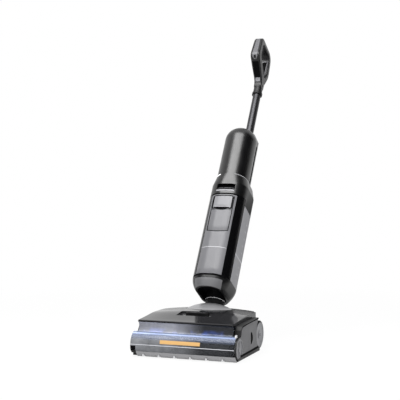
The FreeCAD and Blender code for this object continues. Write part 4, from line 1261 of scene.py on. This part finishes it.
@dataclass
class UsedWaterTank(SubAssembly):
    """Front tank with its grip panel and level line, and black painted shade in its seams, thumb
    recess and round the latch.
    """

    body: Body = Body.DIRTY_TANK
    edge_walk: float = 41.0
    half: float = 39.2
    back: float = -38.4
    bottom: float = 139.4
    top: float = 355.9
    panel: float = 33.5
    panel_low: float = 280.0
    panel_bow: float = 5.0
    sunk: float = 1.6
    scoop: float = 2.6
    scoop_high: float = 16.0
    wall: float = 2.2
    front_wall: float = 5.0
    floor: float = 2.5
    thumb_half: float = 24.0
    thumb_top: float = 362.4
    thumb_drop: float = 8.4
    slice_every: float = 3.6

    def panel_foot(self, walked: float) -> float:
        """Return the height of the grip panel's bowed foot at a place."""
        return self.panel_low + self.panel_bow * (walked / self.panel) ** 2

    def depth(self, walked: float, height: float) -> float:
        """Return how deep the front is sunk at a place: the grip panel with its bowed foot.

        Args:
            walked: Distance from the middle of the front.
            height: Distance up the pole.

        Returns:
            The depth.
        """
        across = max(0.0, min(1.0, (self.panel - abs(walked)) / 0.8))
        foot = self.panel_foot(walked)
        up = max(0.0, min(1.0, (height - foot) / 1.2))
        scoop = self.scoop * max(0.0, 1 - (height - foot) / self.scoop_high)
        return across * up * (self.sunk + (scoop if height >= foot else 0.0))

    def shell(self) -> Mesh:
        """Tank with an open top, its outer skin and its inner wall.

        Returns:
            The tank.
        """
        walks = sorted({-self.edge_walk + 2 * self.edge_walk * i / 40 for i in range(41)}
                       | {-self.panel, self.panel, 0.9 - self.panel, self.panel - 0.9})
        heights = [self.bottom, self.bottom + 0.8, 160, 200, 225, 250, 270, 278]
        heights += [279 + 0.7 * i for i in range(12)] + [288.5, 290, 293, 297, 302, 320, 340]
        rows = []
        for height in heights + [self.top]:
            tuck = 0.7 if height == self.bottom else 0.0
            front = [BODY_FORM.at(s, -self.depth(s, height) - tuck, height) for s in walks]
            rows.append(front + [(self.half, self.back, height), (-self.half, self.back, height)])
        inner = []
        inside = self.half - self.wall
        for height in (self.top, self.bottom + self.floor):
            front = [BODY_FORM.at(s * 0.94, -self.front_wall, height) for s in walks]
            inner.append(front + [(inside, self.back - self.wall, height),
                                  (-inside, self.back - self.wall, height)])
        return skin(rows + inner, capped=True)

    def build(self) -> None:
        """Make the tank and the trim on it."""
        self.piece("used_water_tank", self.shell(), SMOKED_TANK, "dirty_tank_shell",
                   ["dirty_tank_shell"], 50)
        line = BODY_FORM.hoop(-40, 40, 226.4, 227.7, -0.4, 0.3)
        self.piece("level_line", line, LEVEL_LINE, "dirty_tank_shell")
        # Painted shade: black strips in the grip panel's seams, its thumb recess, its foot, round
        # the latch and at the tank's foot.
        for name, side in SIDES:
            seam = BODY_FORM.hoop(side * 35.0, side * 32.8, 284, 403, -1.0, 0.25, 2)
            self.piece("panel_seam_shade_" + name, seam, SHADOW_TPE, "tank_lid")
        thumb = cut_plate(self.crescent(), 0.5, edge=0.1)
        self.piece("thumb_recess_shade", BODY_FORM.wrap(self.sliced(thumb)), SHADOW_TPE, "tank_lid")
        self.piece("panel_foot_shade", self.foot_shade(), SHADOW_TPE, "dirty_tank_shell")
        frame_out = rounded(32.2, 23.3, 4.8, (0, 380.6))
        frame_in = rounded(28.3, 19.9, 3.0, (0, 381.2))
        surround_shade = cut_plate(frame_out, 0.5, [frame_in], 0.1)
        self.piece("latch_surround_shade", BODY_FORM.wrap(self.sliced(surround_shade)), SHADOW_TPE, "tank_lid")
        self.piece("tank_foot_shade", BODY_FORM.hoop(-57, 57, 134.6, 140.6, -1.4, 0.25), SHADOW_TPE,
                   "body_frame", body=Body.BODY)

    def foot_shade(self) -> Mesh:
        """Black strip along the grip panel's bowed foot, for the shade in its seam: painted shade.

        Returns:
            The seam.
        """
        rows = []
        for i in range(25):
            walked = (i - 12) / 12 * (self.panel + 1.0)
            low = self.panel_foot(walked)
            rows.append([BODY_FORM.at(walked, d, low + rise) for rise, d in
                         ((-1.6, -0.6), (-1.6, 0.15), (0.6, 0.15), (1.0, -1.2))])
        return skin(rows, capped=True)

    def crescent(self) -> list[Flat]:
        """Outline of the black painted shade in the thumb recess under the latch.

        Returns:
            The outline.
        """
        half, high, drop = self.thumb_half, self.thumb_top, self.thumb_drop
        top = [(half * (i / 8 - 1), high) for i in range(17)]
        foot = [(half * (1 - i / 8), high - drop * math.sqrt(max(0.0, 1 - (1 - i / 8) ** 2)))
                for i in range(1, 16)]
        return top + foot

    def sliced(self, made: Mesh) -> Mesh:
        """Cut a flat mesh into narrow strips so that it can be bent.

        Args:
            made: The flat mesh, which is changed.

        Returns:
            The same mesh.
        """
        for i in range(-9, 10):
            bmesh.ops.bisect_plane(made, geom=made.verts[:] + made.edges[:] + made.faces[:],
                                   plane_co=(i * self.slice_every, 0, 0), plane_no=(1, 0, 0))
        return made


@dataclass
class CleanWaterTank(SubAssembly):
    """Level lines and fill marks of the clean tank, and black painted shade along its top edge."""

    body: Body = Body.CLEAN_TANK
    mark_low: float = 180.0
    mark_every: float = 24.0

    def build(self) -> None:
        """Make the trim."""
        for name, side in SIDES:
            line = BODY_FORM.hoop(side * 78, side * 205, 225.8, 228.2, -0.4, 0.3)
            self.piece("clean_level_line_" + name, line, LEVEL_LINE, "clean_tank")
            mark = slab((57.9, -22, self.mark_low), (58.5, -12, self.mark_low + 1.2), 0.15)
            marks = self.repeat.run(mark, 8, LEVEL_LINE, (0, 0, self.mark_every))
            for vert in marks.verts:
                vert.co.x *= side
            self.piece("fill_marks_" + name, marks, LEVEL_LINE, "clean_tank")
            # Painted shade: black along the clean tank's top edge, under the shoulder.
            rim_shade = BODY_FORM.hoop(side * 76, side * 218, 390.4, 392.2, -0.6, 0.25)
            self.piece("clean_tank_rim_shade_" + name, rim_shade, SHADOW_TPE, "shoulder_cover", body=Body.BODY)


@dataclass
class Shoulder(SubAssembly):
    """Carry slot bars of the shoulder, with black painted shade in its seam and slot and painted
    highlights along its seam with the housing.
    """

    def build(self) -> None:
        """Make the trim of the shoulder."""
        # Painted shade: black in the seam above the tanks and in the carry slot.
        self.piece("tank_top_seam_shade", BODY_FORM.hoop(-62, 62, 409.4, 411.4, -0.8, 0.2), SHADOW_TPE,
                   "body_frame")
        self.piece("slot_sill", self.bar(28.5, 419.0, 424.4, 0.9), SILL_GREY, "shoulder_cover")
        self.piece("slot_grip_bar", self.bar(28.6, 431.2, 432.0, -3.4, 0.6), LATCH_GREY,
                   "shoulder_cover")
        liner = BODY_FORM.hoop(-28.8, 28.8, 425.2, 444.8, -9.5, -8.8)
        self.piece("slot_shade", liner, SHADOW_TPE, "shoulder_cover")
        # Painted highlights: white and grey lines along the seam under the upper housing.
        for name, s0, s1, low, high, finish in (
                ("left", -96, -28, 479.6, 484.2, BRIGHT_LINE),
                ("right", 20, 104, 480.8, 482.6, THIN_LINE)):
            line = RIM_FORM.hoop(s0, s1, low, high, -0.8, 0.5)
            self.piece("shoulder_painted_highlight_" + name, line, finish, "shoulder_cover")

    def bar(self, reach: float, low: float, high: float, proud: float, thick: float = 2.2) -> Mesh:
        """Rounded bar across the front."""
        return BODY_FORM.hoop(-reach, reach, low, high, proud - thick, proud, 32)


@dataclass
class UpperHousing(SubAssembly):
    """Trim of the upper housing, the spine behind it and the bottom housing, with black painted
    shade in the dome's seam and beside the spine, and a painted highlight across the bottom
    housing.
    """

    gap_low: float = 484.0
    gap_high: float = 656.0
    slat_low: float = 512.0
    slat_every: float = 5.2
    screw_low: float = 592.0
    screw_apart: float = 62.0

    def build(self) -> None:
        """Make the trim of the housing and the spine."""
        # Painted shade: black in the dome's seam and in the gaps beside the spine.
        self.piece("dome_seam_shade", DOME_FORM.hoop(-104, 104, 649.6, 650.6, -0.6, 0.1), SHADOW_TPE,
                   "dome_cap")
        for name, side in SIDES:
            gap_shade = skin([[(side * x, v, u) for x, v in
                         ((29.6, -14.0), (30.3, -14.0), (30.5, 1.0), (30.3, 16.0), (29.6, 16.0))]
                        for u in (self.gap_low, self.gap_high)], capped=True)
            self.piece("spine_gap_shade_" + name, gap_shade, SHADOW_TPE, "spine_shell")
        # Painted highlight: a light grey band across the bottom housing's front.
        self.piece("cap_front_highlight", self.cap_highlight_band(), BAND_GREY, "lower_cap")
        slat = slab((-16, 37.6, self.slat_low), (16, 38.9, self.slat_low + 2.4), 0.4)
        slats = self.repeat.run(slat, 11, INNER_BLACK, (0, 0, self.slat_every))
        self.piece("exhaust_slats", slats, INNER_BLACK, "spine_shell")
        screw = turned([(0.01, 0.0), (3.2, 0.0), (3.2, 0.5), (2.6, 0.9), (1.3, 0.9), (1.1, 0.3),
                        (0.01, 0.3)], 24)
        bmesh.ops.transform(screw, matrix=Matrix.Translation((0, 37.9, self.screw_low))
                            @ Matrix.Rotation(math.pi / 2, 4, "Z"), verts=screw.verts[:])
        screws = self.repeat.run(screw, 2, STEEL, (0, 0, self.screw_apart))
        self.piece("spine_screws", screws, STEEL, "spine_shell")
        pad = slab((-18, 36.6, 124.5), (-12, 39.6, 132), 0.4)
        pads = self.repeat.run(pad, 3, BRASS, (15, 0, 0))
        self.piece("charging_contacts", pads, BRASS, "lower_cap")

    def cap_highlight_band(self) -> Mesh:
        """Light grey band across the front of the bottom housing, following its taper: painted
        highlight.

        Returns:
            The band.
        """
        sizes = ((102, 41.8, -99.3, 38.5), (106, 44.8, -100.5, 40.5), (111, 48.5, -101.7, 43),
                 (116.5, 51.4, -102.6, 44.5), (122, 54, -103.4, 46), (127, 55.6, -103.7, 46.8))
        outer = [[BodyForm(half, front, 38.0, corner).at(-42 + 4.5 * i, 0.3, u) for i in range(21)]
                 for u, half, front, corner in sizes]
        inner = [[(x * 0.985, v + 1.2, u) for x, v, u in row] for row in outer]
        made = skin(outer + inner[::-1], around=False, wrap=True)
        bmesh.ops.holes_fill(made, edges=[e for e in made.edges if e.is_boundary], sides=0)
        return made


@dataclass
class Handle(SubAssembly):
    """Trim, grip ribs and screws of the loop handle."""

    grip_at: Point = (0.0, -55.8, 928.2)
    grip_tilt: float = 57.7
    throat_at: Flat = (-41.0, 889.7)
    throat_r: float = 26.5
    screw_at: Point = (14.6, 2.0, 897.0)

    def build(self) -> None:
        """Make the handle's trim."""
        self.piece("throat_trim", self.throat_trim(), LATCH_GREY, "front_plate")
        # Painted highlight: a light frame along the rim of the loop's opening, round a dark pad.
        self.piece("opening_rim_highlight", self.liner(12.5, 0.5, 9), PLATE_GREY, "handle_right")
        self.piece("opening_pad", self.liner(7.5, 0.9, 8), SOFT_TOUCH, "soft_grip")
        rib = slab((-8.6, -0.45, -28), (8.6, 0.45, -26.6), 0.2)
        ribs = self.repeat.run(rib, 10, SOFT_TOUCH, (0, 0, 5.2))
        tilt = Matrix.Rotation(math.radians(self.grip_tilt), 4, "X")
        bmesh.ops.transform(ribs, matrix=Matrix.Translation(self.grip_at) @ tilt,
                            verts=ribs.verts[:])
        self.piece("grip_ribs", ribs, SOFT_TOUCH, "soft_grip")
        for name, side in SIDES:
            screw = turned([(0.01, 0.0), (2.8, 0.0), (2.8, 0.4), (2.3, 0.7), (1.2, 0.7),
                            (1.0, 0.2), (0.01, 0.2)], 24)
            for vert in screw.verts:
                vert.co += Vector(self.screw_at)
                vert.co.x *= side
            self.piece("throat_screw_" + name, screw, STEEL, "handle_" + name)

    def liner(self, reach: float, proud: float, count: int) -> Mesh:
        """Tapered pad on the inside of the loop's rear arm; as the light frame it is a painted
        highlight along the opening's rim.

        Args:
            reach: Half its width at the top.
            proud: How far it stands out of the arm.
            count: Points of the arm that it covers.

        Returns:
            The pad.
        """
        wall = ((7.0, 934.6), (12.1, 943.3), (14.4, 950.0), (15.2, 957.6), (14.2, 970.0),
                (13.0, 983.0), (11.9, 995.0), (11.0, 1004.0), (10.5, 1009.0))
        rows = []
        for i, (v, u) in enumerate(wall[:count]):
            half = reach * (0.3 + 0.7 * i / (count - 1))
            rows.append([(-half, v + 0.6, u), (-half, v - proud, u), (half, v - proud, u),
                         (half, v + 0.6, u)])
        return skin(rows, capped=True)

    def throat_trim(self) -> Mesh:
        """Light plate in the hollow where the loop leaves the throat.

        Returns:
            The plate.
        """
        rows = []
        for i in range(9):
            a = math.radians(27 + 29 * i / 8)
            half = 8.2 - 0.6 * abs(i - 4) / 4
            row = []
            for x, thick in ((-half, 0), (-half, 1.1), (-half + 0.5, 1.5), (half - 0.5, 1.5),
                             (half, 1.1), (half, 0)):
                r = self.throat_r - thick
                row.append((x, r * math.cos(a) + self.throat_at[0],
                            r * math.sin(a) + self.throat_at[1]))
            rows.append(row)
        return skin(rows, capped=True)


# ---------------------------------------------------------------- studio


@dataclass
class Studio:
    """Pale floor, soft lamps and the camera."""

    camera_at: Point = (0.963, -2.7744, 0.4772)
    azimuth: float = 20.9
    dip: float = 1.0
    lens: float = 86.4
    sensor: float = 36.0
    floor_half: float = 12.0
    shade_ends: Flat = (0.75, 1.6)
    near_white: float = 0.93
    sky: float = 0.45

    def backdrop(self) -> None:
        """Pale floor and world that read white to the camera, glossy and clear rays."""
        h = self.floor_half
        paint = empty_material("pale_floor_paint")
        tree = paint.node_tree
        matt = add(tree, "ShaderNodeBsdfDiffuse", {"Color": (0.8, 0.8, 0.8, 1)})
        white = add(tree, "ShaderNodeEmission", {"Color": (1, 1, 1, 1), "Strength": 1.0})
        seen = self.seen_rays(tree)
        place = add(tree, "ShaderNodeNewGeometry").outputs["Position"]
        reach = add(tree, "ShaderNodeVectorMath", {"operation": "LENGTH"}, {0: place})
        fade = add(tree, "ShaderNodeMapRange", {
            "From Min": self.shade_ends[0], "From Max": self.shade_ends[1],
            "To Min": self.near_white, "To Max": 1.0},
                   {"Value": reach.outputs["Value"]})
        share = add(tree, "ShaderNodeMath", {"operation": "MULTIPLY"},
                    {0: seen, 1: fade.outputs["Result"]})
        mix = add(tree, "ShaderNodeMixShader", links={
            0: share.outputs[0], 1: matt.outputs[0], 2: white.outputs[0]})
        add(tree, "ShaderNodeOutputMaterial", links={"Surface": mix.outputs[0]})
        self.sheet("floor", [(-h, -h, 0), (h, -h, 0), (h, h, 0), (-h, h, 0)], paint)
        world = bpy.data.worlds.new("studio")
        bpy.context.scene.world = world
        world.use_nodes = True
        tree = world.node_tree
        tree.nodes.clear()
        strength = add(tree, "ShaderNodeMapRange", {"To Min": self.sky, "To Max": 1.0},
                       {"Value": self.seen_rays(tree)})
        sky = add(tree, "ShaderNodeBackground", {"Color": (1, 1, 1, 1)},
                  {"Strength": strength.outputs["Result"]})
        add(tree, "ShaderNodeOutputWorld", links={"Surface": sky.outputs[0]})

    def sheet(self, name: str, corners: Sequence[Point],
              paint: bpy.types.Material) -> bpy.types.Object:
        """Stand up one flat four-cornered sheet that isn't part of the machine.

        Args:
            name: Name of the sheet.
            corners: Its corners in order.
            paint: Its material.

        Returns:
            The sheet.
        """
        mesh = bpy.data.meshes.new(name)
        mesh.from_pydata(corners, [], [(0, 1, 2, 3)])
        mesh.materials.append(paint)
        made = stand(name, mesh)
        return made

    def seen_rays(self, tree: Tree) -> Socket:
        """Return 1 for camera, glossy and transmission rays.

        Args:
            tree: The material's or the world's tree.

        Returns:
            The 0 or 1.
        """
        path = add(tree, "ShaderNodeLightPath")
        glossy = add(tree, "ShaderNodeMath", {"operation": "MAXIMUM"},
                     {0: path.outputs["Is Camera Ray"], 1: path.outputs["Is Glossy Ray"]})
        clear = add(tree, "ShaderNodeMath", {"operation": "MAXIMUM"},
                    {0: glossy.outputs[0], 1: path.outputs["Is Transmission Ray"]})
        return clear.outputs[0]

    def lamp(self, name: str, at: Point, target: Point, size: Flat, power: float,
             shows: bool = True) -> None:
        """Add one soft box.

        Args:
            name: Name of the lamp.
            at: Where it stands.
            target: Where it points.
            size: Width and height.
            power: Watts.
            shows: Whether glossy surfaces mirror it.
        """
        data = bpy.data.lights.new(name, "AREA")
        data.shape = "RECTANGLE"
        data.size, data.size_y = size
        data.energy = power
        lamp = stand(name, data)
        lamp.location = at
        lamp.rotation_euler = (Vector(target) - Vector(at)).to_track_quat("-Z", "Y").to_euler()
        lamp.visible_glossy = shows

    def flag(self, name: str, low: Point, high: Point, shade: float = 0.002) -> None:
        """Stand up a dark card that only mirror-like surfaces see, as studios do for gloss.

        Args:
            name: Name of the card.
            low: One lower corner.
            high: The opposite upper corner.
            shade: How bright it reads.
        """
        (x0, y0, z0), (x1, y1, z1) = low, high
        felt = empty_material(name + "_felt")
        dark = add(felt.node_tree, "ShaderNodeEmission", {"Color": (1, 1, 1, 1), "Strength": shade})
        add(felt.node_tree, "ShaderNodeOutputMaterial", links={"Surface": dark.outputs[0]})
        card = self.sheet(name, [(x0, y0, z0), (x1, y1, z0), (x1, y1, z1), (x0, y0, z1)], felt)
        card.visible_camera = card.visible_diffuse = card.visible_shadow = False
        card.visible_transmission = card.visible_volume_scatter = False

    def lights(self) -> None:
        """Large box above the front, fills that don't show in the gloss, and black cards."""
        middle = (0.0, 0.0, 0.45)
        self.lamp("key_box", (-0.1, -0.95, 2.25), middle, (1.9, 1.3), 66)
        self.lamp("front_fill", (0.2, -2.6, 0.8), middle, (1.4, 1.4), 20, False)
        self.lamp("right_fill", (2.4, -0.8, 0.8), middle, (0.8, 1.6), 16, False)
        self.flag("right_card", (1.3, -1.2, 0.0), (1.3, 1.0, 3.7))
        self.flag("left_card", (-1.15, -1.0, 0.25), (-1.3, -0.35, 2.2))
        self.flag("back_card", (-0.5, 1.2, 0.0), (1.3, 1.2, 0.42), 0.12)

    def camera(self) -> None:
        """Place the camera."""
        data = bpy.data.cameras.new("camera")
        data.lens = self.lens
        data.sensor_width = self.sensor
        camera = stand("camera", data)
        camera.location = self.camera_at
        turn, dip = math.radians(self.azimuth), math.radians(self.dip)
        forward = Vector((-math.sin(turn) * math.cos(dip), math.cos(turn) * math.cos(dip),
                          -math.sin(dip)))
        camera.rotation_euler = forward.to_track_quat("-Z", "Y").to_euler()
        bpy.context.scene.camera = camera

    def build(self) -> None:
        """Set the whole studio up."""
        bpy.context.scene.view_settings.view_transform = "Standard"
        self.backdrop()
        self.lights()
        self.camera()


def main() -> None:
    """Build every sub-assembly in order."""
    logging.basicConfig(level=logging.INFO, format="%(message)s")
    dress_frame()
    repeat = Repeat()
    for assembly in (
            RollerCover(repeat), FloorHead(repeat), Wheel(repeat),
            Wheel(repeat, side=-1, body=Body.WHEEL_LEFT),
            Neck(repeat, POLE_PLACE), UsedWaterTank(repeat, POLE_PLACE),
            CleanWaterTank(repeat, POLE_PLACE), Shoulder(repeat, POLE_PLACE),
            UpperHousing(repeat, POLE_PLACE), Handle(repeat, POLE_PLACE)):
        assembly.build()
        LOG.info("built %s", type(assembly).__name__)
    Studio().build()


if __name__ == "__main__":
    main()
